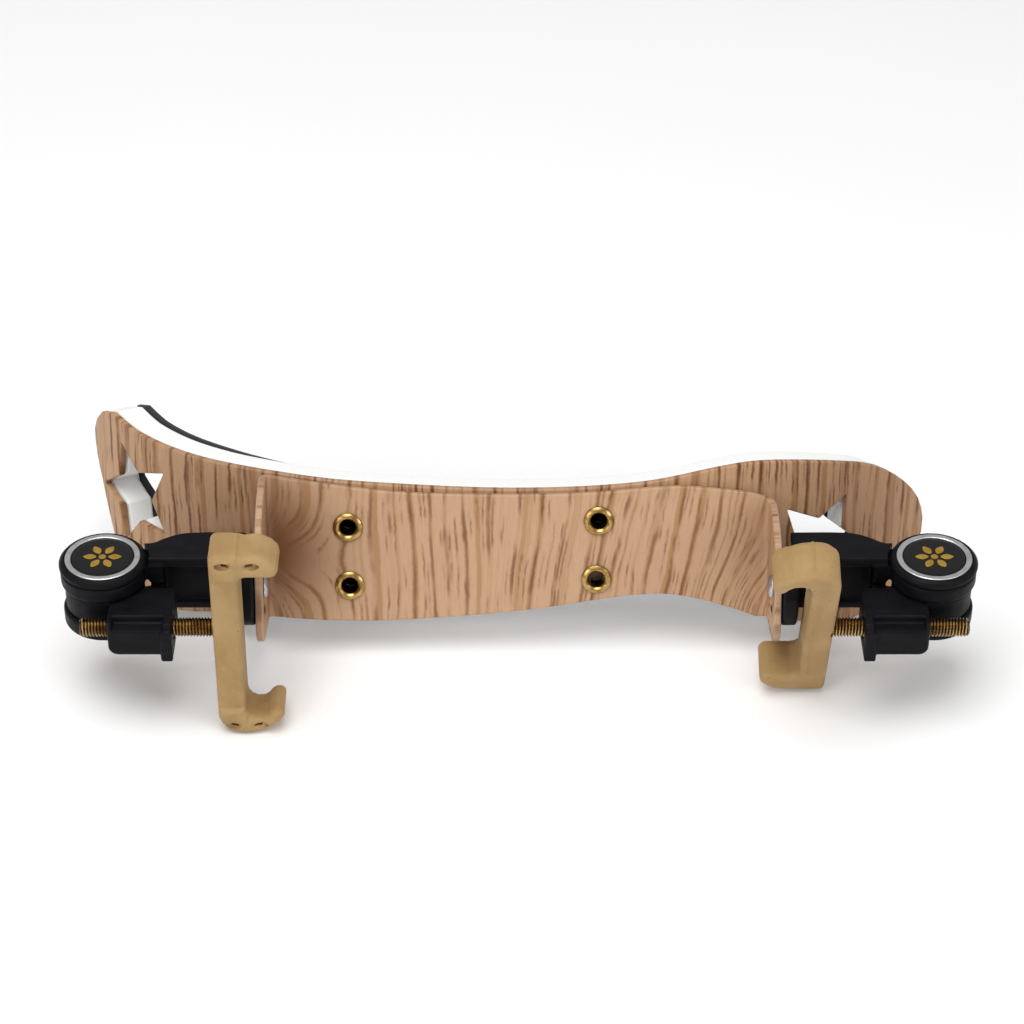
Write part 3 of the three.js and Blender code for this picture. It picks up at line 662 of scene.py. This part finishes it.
def skin(field, low, high, step):
    """The surface where field(x, y, z) is zero, as (points, faces), by surface nets."""
    axes = [np.arange(lo - 1.5 * step, hi + 2.5 * step, step) for lo, hi in zip(low, high)]
    grid = np.meshgrid(*axes, indexing="ij")
    value = field(*grid)
    inside = value < 0
    cells = tuple(n - 1 for n in value.shape)

    def corner(array, offset):
        return array[tuple(slice(o, o + n) for o, n in zip(offset, cells))]

    total = np.zeros(cells + (3,))
    count = np.zeros(cells, int)
    for axis in range(3):
        for first in (0, 1):
            for second in (0, 1):
                start = [first, second]
                start.insert(axis, 0)
                end = list(start)
                end[axis] = 1
                va, vb = corner(value, start), corner(value, end)
                cross = corner(inside, start) != corner(inside, end)
                t = np.where(cross, va / np.where(cross, va - vb, 1), 0)
                for k in range(3):
                    total[..., k] += np.where(cross, start[k] + (t if k == axis else 0), 0)
                count += cross
    active = count > 0
    index = np.full(cells, -1)
    index[active] = np.arange(active.sum())
    cell = np.argwhere(active)
    base = np.array([a[0] for a in axes])
    points = base + step * (cell + total[active] / count[active][:, None])
    faces = []
    for axis in range(3):
        ahead = [slice(1, n) for n in cells]
        here = list(ahead)
        here[axis] = slice(0, cells[axis])
        beyond = list(ahead)
        beyond[axis] = slice(1, cells[axis] + 1)
        first, second = inside[tuple(here)], inside[tuple(beyond)]
        place = np.argwhere(first != second)
        entering = second[first != second]
        for k in range(3):
            if k != axis:
                place[:, k] += 1
        u, v = [k for k in range(3) if k != axis]
        quad = []
        for du, dv in ((0, 0), (1, 0), (1, 1), (0, 1)):
            q = place.copy()
            q[:, u] -= du
            q[:, v] -= dv
            quad.append(index[q[:, 0], q[:, 1], q[:, 2]])
        quad = np.stack(quad, axis=1)
        flip = entering if axis != 1 else ~entering
        quad[flip] = quad[flip][:, ::-1]
        faces.append(quad)
    for _ in range(2):
        here = field(*points.T)
        slope = np.stack([
            (field(*(points + d).T) - field(*(points - d).T)) / 0.1 for d in np.eye(3) * 0.05
        ], axis=1)
        size = np.maximum(np.sum(slope ** 2, axis=1), 0.25)
        move = np.clip(here / size, -step / 2, step / 2)
        points = points - move[:, None] * slope
    return points, np.concatenate(faces).tolist()


# ---- Bent plate, foam and backing ----
PLATE_OUTLINE = [
    (-110, -6), (-113, 7), (-114.8, 16), (-114.4, 23.5), (-110.6, 28), (-102.9, 25.4), (-89.8, 22.8),
    (-68.7, 20.5), (-45, 18), (0, 15.9), (32, 17.6), (52.7, 21.6), (63.3, 22.7), (84.4, 20.6),
    (96, 17.4), (106.5, 8), (109, -1.1), (105, -13), (96, -22.2), (82, -24.9), (70, -21), (58, -14.5),
    (38, -10.5), (5, -14.5), (-39, -17.8), (-68, -18.4), (-88, -22), (-101, -22.2), (-107, -15.3),
]


def plan_side(distance, bends):
    x, out, turn = (np.zeros_like(distance) for _ in range(3))
    rest = distance.copy()
    for length, radius in bends:
        step = np.clip(rest, 0, length)
        if math.isinf(radius):
            x += step
        else:
            after = turn + step / radius
            x += radius * (np.sin(after) - np.sin(turn))
            out -= radius * (np.cos(turn) - np.cos(after))
            turn = after
        rest -= step
    return x, out, turn


def plan_point(s):
    """x, distance out and turn of the plate's face at distances s along it."""
    left = plan_side(np.abs(s), LEFT_BENDS)
    right = plan_side(np.abs(s), RIGHT_BENDS)
    x, out, turn = (np.where(s < 0, a, b) for a, b in zip(left, right))
    side = np.where(s < 0, -1.0, 1.0)
    return side * x, out, side * turn


RUN = np.linspace(-147, 130, 4001)
RUN_X = plan_point(RUN)[0]


def along_plate(x):
    return np.interp(x, RUN_X, RUN)


def on_plate(s, up, behind):
    """World points for places on the plate: along, up, and behind its front face."""
    s, up, behind = np.broadcast_arrays(*(np.asarray(v, float) for v in (s, up, behind)))
    x, out, turn = plan_point(s)
    across = x - behind * np.sin(turn)
    forward = out - behind * np.cos(turn)
    return (
        PLATE_ORIGIN + across[..., None] * ACROSS + up[..., None] * PLATE_UP
        + forward[..., None] * PLATE_OUT
    )


def plate_outline(inset):
    loop = smooth_row(PLATE_OUTLINE, 150, closed=True)
    share = np.clip((loop[:, 0] + 90) / 40, 0, 1)
    pull = inset * share * share * (3 - 2 * share)
    x = loop[:, 0] - np.where(loop[:, 0] > 80, pull, 0)
    return np.stack([along_plate(x), loop[:, 1] - np.sign(loop[:, 1]) * pull], axis=1)


def star(centre_s, centre_up, turn, radius):
    corners = []
    for i in range(10):
        reach = radius if i % 2 == 0 else radius * STAR_NECK
        angle = math.radians(90 + turn + 36 * i)
        corners.append((centre_s + reach * math.cos(angle), centre_up + reach * math.sin(angle)))
    return filleted(corners, 0.5, closed=True, steps=3)


def star_holes(grow):
    return [star(float(along_plate(x)), up, turn, STAR_RADIUS + grow) for x, up, turn in STARS]


def bent_sheet(name, loops, front, thick, edge_radius, material, waves=0.0):
    points, faces = flat_sheet(loops, thick, edge_radius, PLATE_SLICE)
    behind = front - points[:, 2]
    flat = np.stack([points[:, 0], points[:, 1], behind - front], axis=1)
    if waves:
        ripple = np.sin(points[:, 0] * 0.31) * np.cos(points[:, 1] * 0.4 + points[:, 0] * 0.11)
        behind = behind + waves * ripple * np.where(behind > front + thick / 2, -1, 1)
    placed = on_plate(points[:, 0], points[:, 1], behind)
    return make_piece(
        f"{name}_detailed", placed, facing_out(placed, faces), material, "frame", (name,), flat,
    )


def plate_layers():
    holes = [circle(place, EYELET_HOLE) for place in EYELETS.values()]
    plate_cut = [plate_outline(0), *star_holes(0), *holes]
    bent_sheet("base_plate", plate_cut, 0, PLATE_THICK, 0.45, PLATE_GRAIN)
    front = PLATE_THICK + GAP / 2
    holes = [circle(place, EYELET_ROOM) for place in EYELETS.values()]
    foam_cut = [plate_outline(0.25), *star_holes(0.2), *holes]
    foam = bent_sheet(
        "foam_pad", foam_cut, front, FOAM_THICK + GAP / 2, 1.3, FOAM, waves=0.07,
    )
    backing_cut = [plate_outline(1.6), *star_holes(0.4)]
    backing = bent_sheet(
        "pad_backing", backing_cut, front + FOAM_THICK + GAP, BACKING_THICK, 0.6, BACKING,
        waves=0.05,
    )


# ---- Bracket ----
BRACKET_TOP = [
    (-72, 21.4), (-66, 20.4), (-58.5, 19.2), (-45.7, 17.3), (-30, 15.6), (0, 15), (20, 15.6), (35.6, 17),
    (43.4, 17.3), (50.8, 16.7), (62, 15.2), (66, 13.6), (72, 10),
]
BRACKET_BOTTOM = [
    (72, -21.5), (64.4, -19.4), (56, -16.4), (46, -13.6), (38, -12.5), (30, -12.9), (22, -14), (5, -16.7),
    (-10, -18.3), (-24, -19.4), (-38, -20.1), (-55, -19.7), (-66, -18.7), (-72, -18.2),
]
FLANGE_LOWER = -18.6
FLANGE_START = MIDDLE_HALF + BEND_FLAT


def flange_s(out):
    """Distance along the cut-out strip of a place on a flange, `out` in front of the plate."""
    return FLANGE_START + out - BEND_OUTER - GAP


def flange_edge(top):
    """The edge of a flange from its bend's top round to its bend's bottom, as (along, up)."""
    slope = []
    for k in range(25):
        angle = math.pi / 2 * k / 24
        out = BEND_OUTER + (FLANGE_REACH - BEND_OUTER) * math.sin(angle)
        slope.append((flange_s(out), top * math.cos(angle)))
    corner = arc((flange_s(FLANGE_REACH - 7), FLANGE_LOWER + 7), 7, 0, -90)
    return [*slope, *corner, (flange_s(BEND_OUTER + 1), FLANGE_LOWER)]


def bracket_outline():
    top = [tuple(p) for p in smooth_row(BRACKET_TOP, 60) if abs(p[0]) < MIDDLE_HALF]
    bottom = [tuple(p) for p in smooth_row(BRACKET_BOTTOM, 60) if abs(p[0]) < MIDDLE_HALF]
    right = flange_edge(13.4)
    left = [(-s, up) for s, up in flange_edge(20.6)][::-1]
    return [*top, *right, *bottom, *left]


def rivet_place():
    """The arm's tilt axis on the flange: distance out of the plate's face, and up."""
    offset = np.array([0, AXLE_Y, CAP_TOP + ARM_MIDDLE]) - PLATE_ORIGIN
    return float(offset @ PLATE_OUT), float(offset @ PLATE_UP)


def flange_holes(sign):
    out, up = rivet_place()
    s = flange_s(out)
    sweep = PEG_SLOT_SWEEP
    holes = [circle((s, up), RIVET_HOLE)]
    for middle in (90 - 17, -90 - 17):
        outer = arc((s, up), PEG_ORBIT + PEG_SLOT_HALF, middle - sweep, middle + sweep, 10)
        inner = arc((s, up), PEG_ORBIT - PEG_SLOT_HALF, middle + sweep, middle - sweep, 10)
        ends = [arc((s, up), PEG_ORBIT, a, a, 1)[0] for a in (middle + sweep, middle - sweep)]
        far = arc(ends[0], PEG_SLOT_HALF, middle + sweep, middle + sweep + 180, 8)[1:-1]
        near = arc(ends[1], PEG_SLOT_HALF, middle - sweep + 180, middle - sweep + 360, 8)[1:-1]
        holes.append([*outer, *far, *inner, *near])
    return [[(sign * a, b) for a, b in hole] for hole in holes]


def bent_u(flat):
    """World points of the bracket's cut-out strip, bent into its U."""
    s, up, behind = flat.T
    far = np.abs(s)
    side = np.where(s < 0, -1.0, 1.0)
    angle = np.clip((far - MIDDLE_HALF) / BEND_FLAT, 0, 1) * math.pi / 2
    radius = BEND_INNER + behind
    beyond = np.maximum(far - FLANGE_START, 0)
    x = np.minimum(far, MIDDLE_HALF) + radius * np.sin(angle)
    out = GAP + BEND_OUTER - radius * np.cos(angle) + beyond
    return (
        PLATE_ORIGIN + (side * x)[:, None] * ACROSS + up[:, None] * PLATE_UP + out[:, None] * PLATE_OUT
    )


def bracket():
    loops = [bracket_outline(), *flange_holes(-1), *flange_holes(1)]
    loops += [circle(place, EYELET_HOLE) for place in EYELETS.values()]
    points, faces = flat_sheet(loops, SHEET, 0.4, BRACKET_SLICE)
    flat = np.stack([points[:, 0], points[:, 1], -points[:, 2]], axis=1)
    placed = bent_u(flat)
    make_piece("centre_bracket_detailed", placed, facing_out(placed, faces), BRACKET_GRAIN, "frame",
               ("centre_bracket",), flat)


def eyelets():
    head, tube, bore = 3.95, 2.7, 2.1
    front = GAP + SHEET
    back = -PLATE_THICK
    profile = [
        (bore, back - 0.8), (head - 0.3, back - 0.8), (head - 0.3, back - 0.05), (tube, back - 0.05),
        (tube, front + 0.05), (head, front + 0.05), (head, front + 0.5), (head - 0.9, front + 1.0),
        (bore + 0.7, front + 1.0), (bore, front + 0.4),
    ]
    points, faces = turned(filleted(profile, 0.35, closed=True), closed=True)
    for name, (s, up) in EYELETS.items():
        placed = pointed(points, on_plate(s, up, 0), PLATE_OUT)
        make_piece(f"eyelet_{name}_detailed", placed, facing_out(placed, faces), BRASS, "frame",
                   (f"eyelet_{name}",))


# ---- The two ends ----
def arm_field(u, y, z):
    hub_end = HUB_OUTER + 1
    back_curve = [(9.5, 6.2), (12.2, 6.3), (15, 8.2), (19, 10.2), (23.5, 10.8), (hub_end, 10.8)]
    back_edge = smooth_row(back_curve, 24)
    top_plan = [(hub_end, -0.7), (8, -0.7), *back_edge]
    root_plan = [(0, -0.7), (15, -0.7), (15, 8.2), (9, 6.2), (0, 6.2)]
    bottom_plan = [(0, 0), (15, 2.8), (hub_end, 2.8), (hub_end, 9.6), (15, 8.6), (8, 5)]
    radial = np.hypot(u, y)
    parts = [
        swept(radial - EAR_RADIUS, z, -6.7, -2.6, 0.7),
        swept(radial - EAR_RADIUS, z, -ARM_HEIGHT, -14.2, 0.8),
        swept(polygon(root_plan)(u, y), z, -6.7, -2.6, 0.4),
        swept(polygon(root_plan)(u, y), z, -ARM_HEIGHT, -14.2, 0.4),
        swept(polygon(bottom_plan)(u, y), z, -ARM_HEIGHT, -16.9, 0.5),
        block_field(u, y, z, (11.5, 15), (-0.7, 7.6), (-16.9, -2), 0.4),
        block_field(u, y, z, (14, hub_end), (4.4, 7.4), (-16.9, -2.4), 0.3),
    ]
    whole = blended_all(parts, 0.9)
    flange = swept(polygon(top_plan)(u, y), z, -2.9, 0, 0.55)
    flange = np.maximum(flange, 11.75 - radial)
    whole = blended(whole, flange, 0.8)
    turn = np.hypot(y, z - ARM_MIDDLE)
    whole = blended(whole, swept(turn - HUB_RADIUS, u, HUB_OUTER, HUB_INNER, 0.6), 0.8)
    whole = carved(whole, swept(np.abs(turn - 8.2) - 0.25, u, HUB_OUTER - 1, HUB_OUTER + 0.35, 0.1), 0.2)
    whole = carved(whole, swept(turn - 5.6, u, HUB_OUTER - 1, HUB_OUTER + 0.3, 0.1), 0.2)
    for up in (PEG_ORBIT, -PEG_ORBIT):
        peg = np.hypot(y, z - ARM_MIDDLE - up) - PEG_RADIUS
        whole = np.minimum(whole, swept(peg, u, HUB_INNER - 1, HUB_INNER + GAP + SHEET, 0.2))
    for cut in (
        swept(radial - 10.6, z, -14.2, -6.7, 0.05),
        swept(radial - PIN_HOLE, z, -30, 10, 0.1),
        swept(radial - 4.3, z, -ARM_HEIGHT - 3, -ARM_HEIGHT + 1.6, 0.1),
        swept(turn - RIVET_HOLE, u, 0, 60, 0.1),
        swept(turn - 3.3, u, 20, HUB_OUTER + 0.8, 0.1),
    ):
        whole = carved(whole, cut, 0.25)
    return whole


def block_shape(u, y, z):
    outline = [*arc((4.8, -14.5), 2.5, 180, 270, 8), (18.6, -17), (18.6, -7.1), (2.3, -7.1)]
    rim = filleted([(15.6, -18.4), (18.6, -18.4), (18.6, -9), (15.6, -9)], 0.5, closed=True)
    radial = np.hypot(u, y)
    from_rod = np.hypot(y + ROD_FRONT, z + ROD_DROP)
    body = swept(polygon(outline)(u, z), y, -19.1, -3.2, 0.9)
    body = blended(body, swept(polygon(rim)(u, z), y, -19.9, -6, 0.5), 0.5)
    step = block_field(u, y, z, (3.5, 16.5), (-25, -15.4), (-9.2, 0), 0.6)
    body = carved(body, step, 0.6)
    whole = np.minimum(body, swept(radial - 10.2, z, -13.9, -7.0, 0.4))
    for cut in (
        swept(radial - 11.3, z, -30, -13.9, 0.1),
        swept(radial - 11.3, z, -7.0, 3, 0.1),
        swept(radial - PIN_HOLE, z, -30, 10, 0.1),
        swept(from_rod - THREAD_RADIUS - 0.15, u, -30, 60, 0.1),
        swept(from_rod - THREAD_RADIUS - 0.6, u, 18.1, 30, 0.1),
    ):
        whole = carved(whole, cut, 0.25)
    return whole


def fork_outline():
    """The fork's outline: inboard of the bar's outer face, and along the bar from the rod's axis.
    One end is square outside, the other is an arch whose tip curls in."""
    square = [
        *arc((1.8, 26.7), 1.8, 180, 90, 6), (4.6, 28.5), (6.8, 28.35), (8.8, 27.8), (10.8, 28.2),
        (13, 27.9), (15.3, 26.7), (16.9, 24.9), (17.2, 23.2), (16.5, 22), (15, 21.6), (9.2, 21.6),
        (7.7, 21.1), (7.1, 19.8),
    ]
    arch = [
        *arc((6, 22.5), 6, 180, 90, 14), (7.8, 28.4), (10, 28), (12.2, 27.25), (14.2, 26.1), (15.9, 24.6),
        (16.9, 23), (16.9, 21.7), (16, 20.9), (14.6, 20.8), (13.4, 21.6), (12.5, 22.9), (11.3, 23.8),
        (9.7, 23.9), (8.3, 23.2), (7.4, 21.8), (7.1, 20),
    ]
    return [*square, *[(u, -h) for u, h in reversed(arch)]]


def fork_field(u, h, d):
    """The rubber fork standing on its rod; d is towards its thick side."""
    flat = polygon(fork_outline())(u, h)
    lobe = np.clip((np.abs(h) - 20.2) / 1.3, 0, 1)
    bar_front = FORK_FRONT - BAR_RECESS
    thick = FORK_FRONT - BAR_RECESS * (1 - lobe * lobe * (3 - 2 * lobe))
    front_round = swept(flat, d, FORK_BACK - 6, FORK_FRONT, 2.3)
    back_round = swept(flat, d, FORK_BACK, FORK_FRONT + 6, 1.5)
    whole = np.maximum(front_round, back_round)
    bar = swept(flat, d, FORK_BACK - 6, bar_front, 1.2)
    whole = np.maximum(whole, bar - 3 * lobe)
    whole = np.maximum(whole, d - thick)
    for end in (1, -1):
        ridge = block_field(u, h, d, (6.78, 7.22), sorted((end * 21.6, end * 29)), (-1, 20), 0.2)
        whole = blended(whole, np.maximum(ridge, whole - 0.22), 0.3)
        for middle, side in ((4.2, -1), (10.2, 1)):
            place = end * SLOT_UP
            wide = (middle - 1.0, middle + 1.0)
            slot = block_field(u, h, d, wide, (place - 0.4, place + 0.4), (4.5, 20), 0.15)
            eye = np.hypot((u - middle - side * 0.5) / 2.1, (h - place) / 1.05) - 1
            dish = np.maximum(eye * 1.05, 8.15 + 0.3 * side * (middle - u) - d)
            whole = carved(whole, dish, 0.45)
            whole = carved(whole, slot, 0.2)
    seam = block_field(u, h, d, (4.8, 5.15), (-20, 4), (-1, 20), 0.1)
    whole = blended(whole, np.maximum(seam, whole - 0.12), 0.25)
    groove = np.hypot(u - 4.9, d + 3.4) - 0.75
    groove = np.maximum(groove, np.abs(h) - 20)
    whole = carved(whole, groove, 0.5)
    socket = swept(np.hypot(h, d) - 2.55, u, -3, 2.15, 0.1)
    return carved(whole, socket, 0.2)


def fork_place(side, points):
    """From the fork's own frame to its end's frame."""
    flip = 1 if side["flip"] else -1
    u, h, d = points.T
    y, z = flip * d, -flip * h
    turn = side["turn"]
    return np.stack([
        side["bar"] + u,
        y * math.cos(turn) - z * math.sin(turn) - ROD_FRONT,
        y * math.sin(turn) + z * math.cos(turn) - ROD_DROP,
    ], axis=1)


def thread(start, end):
    """A screw thread along z from start to end, with chamfered ends: (points, faces)."""
    pitch, major, minor = THREAD_PITCH, THREAD_RADIUS, THREAD_ROOT
    around, steps = 40, 8
    turns = math.ceil((end - start) / pitch) + 3
    points, faces = [], []
    phases = np.arange(steps) / steps
    tooth = [major, major, minor + 0.05, minor, major - 0.05, major]
    heights = np.interp(phases, [0, 0.08, 0.42, 0.58, 0.92, 1], tooth)
    rows = turns * steps
    for row in range(rows):
        for k in range(around):
            z = start + (row / steps - 1.5 + k / around) * pitch
            chamfer = 1.85 + max(min(z - start, end - z), 0)
            radius = min(heights[row % steps], chamfer)
            a = 2 * math.pi * k / around
            points.append((radius * math.cos(a), radius * math.sin(a), z))
    for row in range(rows - 1):
        for k in range(around):
            n = (k + 1) % around
            step = steps if n == 0 else 0
            a, b = row * around + k, (row + step) * around + n
            if b + around < rows * around:
                faces.append([a, b, b + around, a + around])
    mesh = bpy.data.meshes.new("thread")
    mesh.from_pydata(points, [], faces)
    bm = bmesh.new()
    bm.from_mesh(mesh)
    for z, way in ((start, -1), (end, 1)):
        everything = bm.verts[:] + bm.edges[:] + bm.faces[:]
        bmesh.ops.bisect_plane(bm, geom=everything, dist=1e-5, plane_co=(0, 0, z), plane_no=(0, 0, way),
                               clear_outer=True)
        rim = [e for e in bm.edges if e.is_boundary and all(abs(v.co.z - z) < 1e-4 for v in e.verts)]
        bmesh.ops.holes_fill(bm, edges=rim)
    bmesh.ops.recalc_face_normals(bm, faces=bm.faces)
    bm.verts.index_update()
    placed = np.array([v.co[:] for v in bm.verts])
    made = [[v.index for v in f.verts] for f in bm.faces]
    bm.free()
    bpy.data.meshes.remove(mesh)
    return placed, made


def rosette_loops():
    """Six petals round a small disc."""
    loops = [circle((0, 0), 0.95, 24)]
    for k in range(6):
        angle = math.radians(60 * k)
        along = np.array([math.cos(angle), math.sin(angle)])
        aside = np.array([-along[1], along[0]])
        petal = [along * 1.5, along * 3.1 + aside * 1.05, along * 4.9, along * 3.1 - aside * 1.05]
        loops.append(smooth_row([tuple(p) for p in petal], 28, closed=True))
    return loops


def rosette(side):
    top = 0.02
    for k, loop in enumerate(rosette_loops()):
        points, faces = flat_sheet([loop], 0.12, 0.03, 50)
        points[:, 2] += top + 0.12
        end_piece(side, f"badge_rosette_{k}", points, faces, GOLD, "badge_plastic", replaced=())


def cap_pieces(side):
    cap = [(0, -2.3), (10.9, -2.3), (11.2, -2.0), (11.2, -1.1), (10.7, -0.45), (10.1, -0.02), (9.85, -0.02),
           (9.85, -0.9), (0, -0.9)]
    end_piece(side, "cap", *turned(filleted(cap, 0.14), 96), BLACK, "black_plastic")
    ring = [(8.1, -0.7), (9.65, -0.7), (9.65, 0), (9.45, 0.15), (8.35, 0.15), (8.1, 0)]
    ring_shape = turned(filleted(ring, 0.12, closed=True), 96, closed=True)
    end_piece(side, "cap_ring", *ring_shape, RING, "ring_silver")
    badge = [(0, -0.7), (7.9, -0.7), (7.9, -0.12), (7.2, -0.02), (4, 0.01), (0, 0.02)]
    end_piece(side, "cap_badge", *turned(filleted(badge, 0.12), 96), BADGE, "badge_plastic")
    rosette(side)


def pins(side):
    head = HUB_INNER + GAP + SHEET + 0.1
    tail = HUB_OUTER - 0.25
    rivet = [(0, tail), (1.2, tail), (1.6, tail + 0.25), (2.9, tail + 0.1), (3, tail + 1), (1.5, tail + 1),
             (1.5, head), (3, head), (2.95, head + 0.35), (2.4, head + 0.9), (1.3, head + 1.25),
             (0, head + 1.35)]
    points, faces = turned(filleted(rivet, 0.2), 64)
    points = pointed(points, (0, 0, ARM_MIDDLE), (1, 0, 0))
    end_piece(side, "arm_rivet", points, faces, STEEL, "steel")
    low = -ARM_HEIGHT + GAP
    pin = [(0, low + 0.6), (1.1, low + 0.6), (1.4, low), (3.7, low), (4, low + 0.3), (4, low + 1),
           (2.5, low + 1), (2.5, -2.8), (0, -2.8)]
    end_piece(side, "pivot_pin", *turned(filleted(pin, 0.12), 64), STEEL, "steel")


def ends():
    arm = skin(arm_field, (-11.2, -11.2, -19), (41, 11.2, 0.2), ARM_CELL)
    block = skin(block_shape, (-10.5, -20, -18.6), (18.8, 10.5, -6.5), ARM_CELL)
    fork_points, fork_faces = skin(fork_field, (0, -28.6, -3.2), (17.4, 28.6, 9.2), FORK_CELL)
    for side in SIDES:
        name = side["name"]
        end_piece(side, "arm", *arm, BLACK, "black_plastic")
        end_piece(side, "swivel_block", *block, BLACK, "black_plastic", body="block")
        cap_pieces(side)
        pins(side)
        rod_end = side["bar"] + ROD_IN_BAR
        points, faces = thread(rod_end - ROD_LENGTH, rod_end)
        points = pointed(points, (0, -ROD_FRONT, -ROD_DROP), (1, 0, 0))
        end_piece(side, "threaded_rod", points, faces, THREAD, "rod_brass", body="rod", sharp=50)
        rubber = fork_place(side, fork_points)
        end_piece(side, "fork_rubber", rubber, fork_faces, RUBBER, "fork_rubber", body="fork")
        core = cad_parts[f"{name}_fork_core"]
        core.data.materials.clear()
        core.data.materials.append(CORE)


# ---- Studio ----
def studio():
    bpy.ops.mesh.primitive_plane_add(size=6, location=(0, 0.6, 0))
    floor = bpy.context.object
    floor.name = "studio_floor"
    s = Shader("studio_floor")
    shade = s.mix(s.noise(s.place(), 0.01, 2.0), (0.93, 0.93, 0.93), (0.95, 0.95, 0.95))
    floor.data.materials.append(s.done(base_color=shade, roughness=0.9))

    world = bpy.data.worlds.new("studio")
    world.use_nodes = True
    world.node_tree.nodes["Background"].inputs["Color"].default_value = (1.0, 1.0, 1.0, 1)
    world.node_tree.nodes["Background"].inputs["Strength"].default_value = 0.5
    bpy.context.scene.world = world

    def area(name, place, target, size, power):
        data = bpy.data.lights.new(name, "AREA")
        data.shape = "DISK"
        data.size = size
        data.energy = power
        lamp = bpy.data.objects.new(name, data)
        lamp.location = place
        lamp.rotation_euler = (Vector(target) - Vector(place)).to_track_quat("-Z", "Y").to_euler()
        bpy.context.scene.collection.objects.link(lamp)

    centre = (0, 0, 0.03)
    area("overhead", (-0.15, -0.25, 1.1), centre, 0.9, 8.5)
    area("front_left", (-0.8, -0.9, 0.6), centre, 0.6, 3.2)
    area("front_right", (0.9, -0.6, 0.5), centre, 0.6, 2.6)
    scene = bpy.context.scene
    scene.view_settings.view_transform = "Standard"
    scene.view_settings.look = "None"

    lens = bpy.data.cameras.new("camera")
    lens.lens = CAMERA_LENS
    lens.sensor_width = 36
    camera = bpy.data.objects.new("camera", lens)
    sight = Vector((0, -math.cos(CAMERA_ELEVATION), math.sin(CAMERA_ELEVATION)))
    camera.location = Vector(CAMERA_TARGET) * MM + CAMERA_AWAY * sight
    camera.rotation_euler = (math.pi / 2 - CAMERA_ELEVATION, 0, 0)
    scene.collection.objects.link(camera)
    scene.camera = camera


studio()
plate_layers()
bracket()
eyelets()
ends()
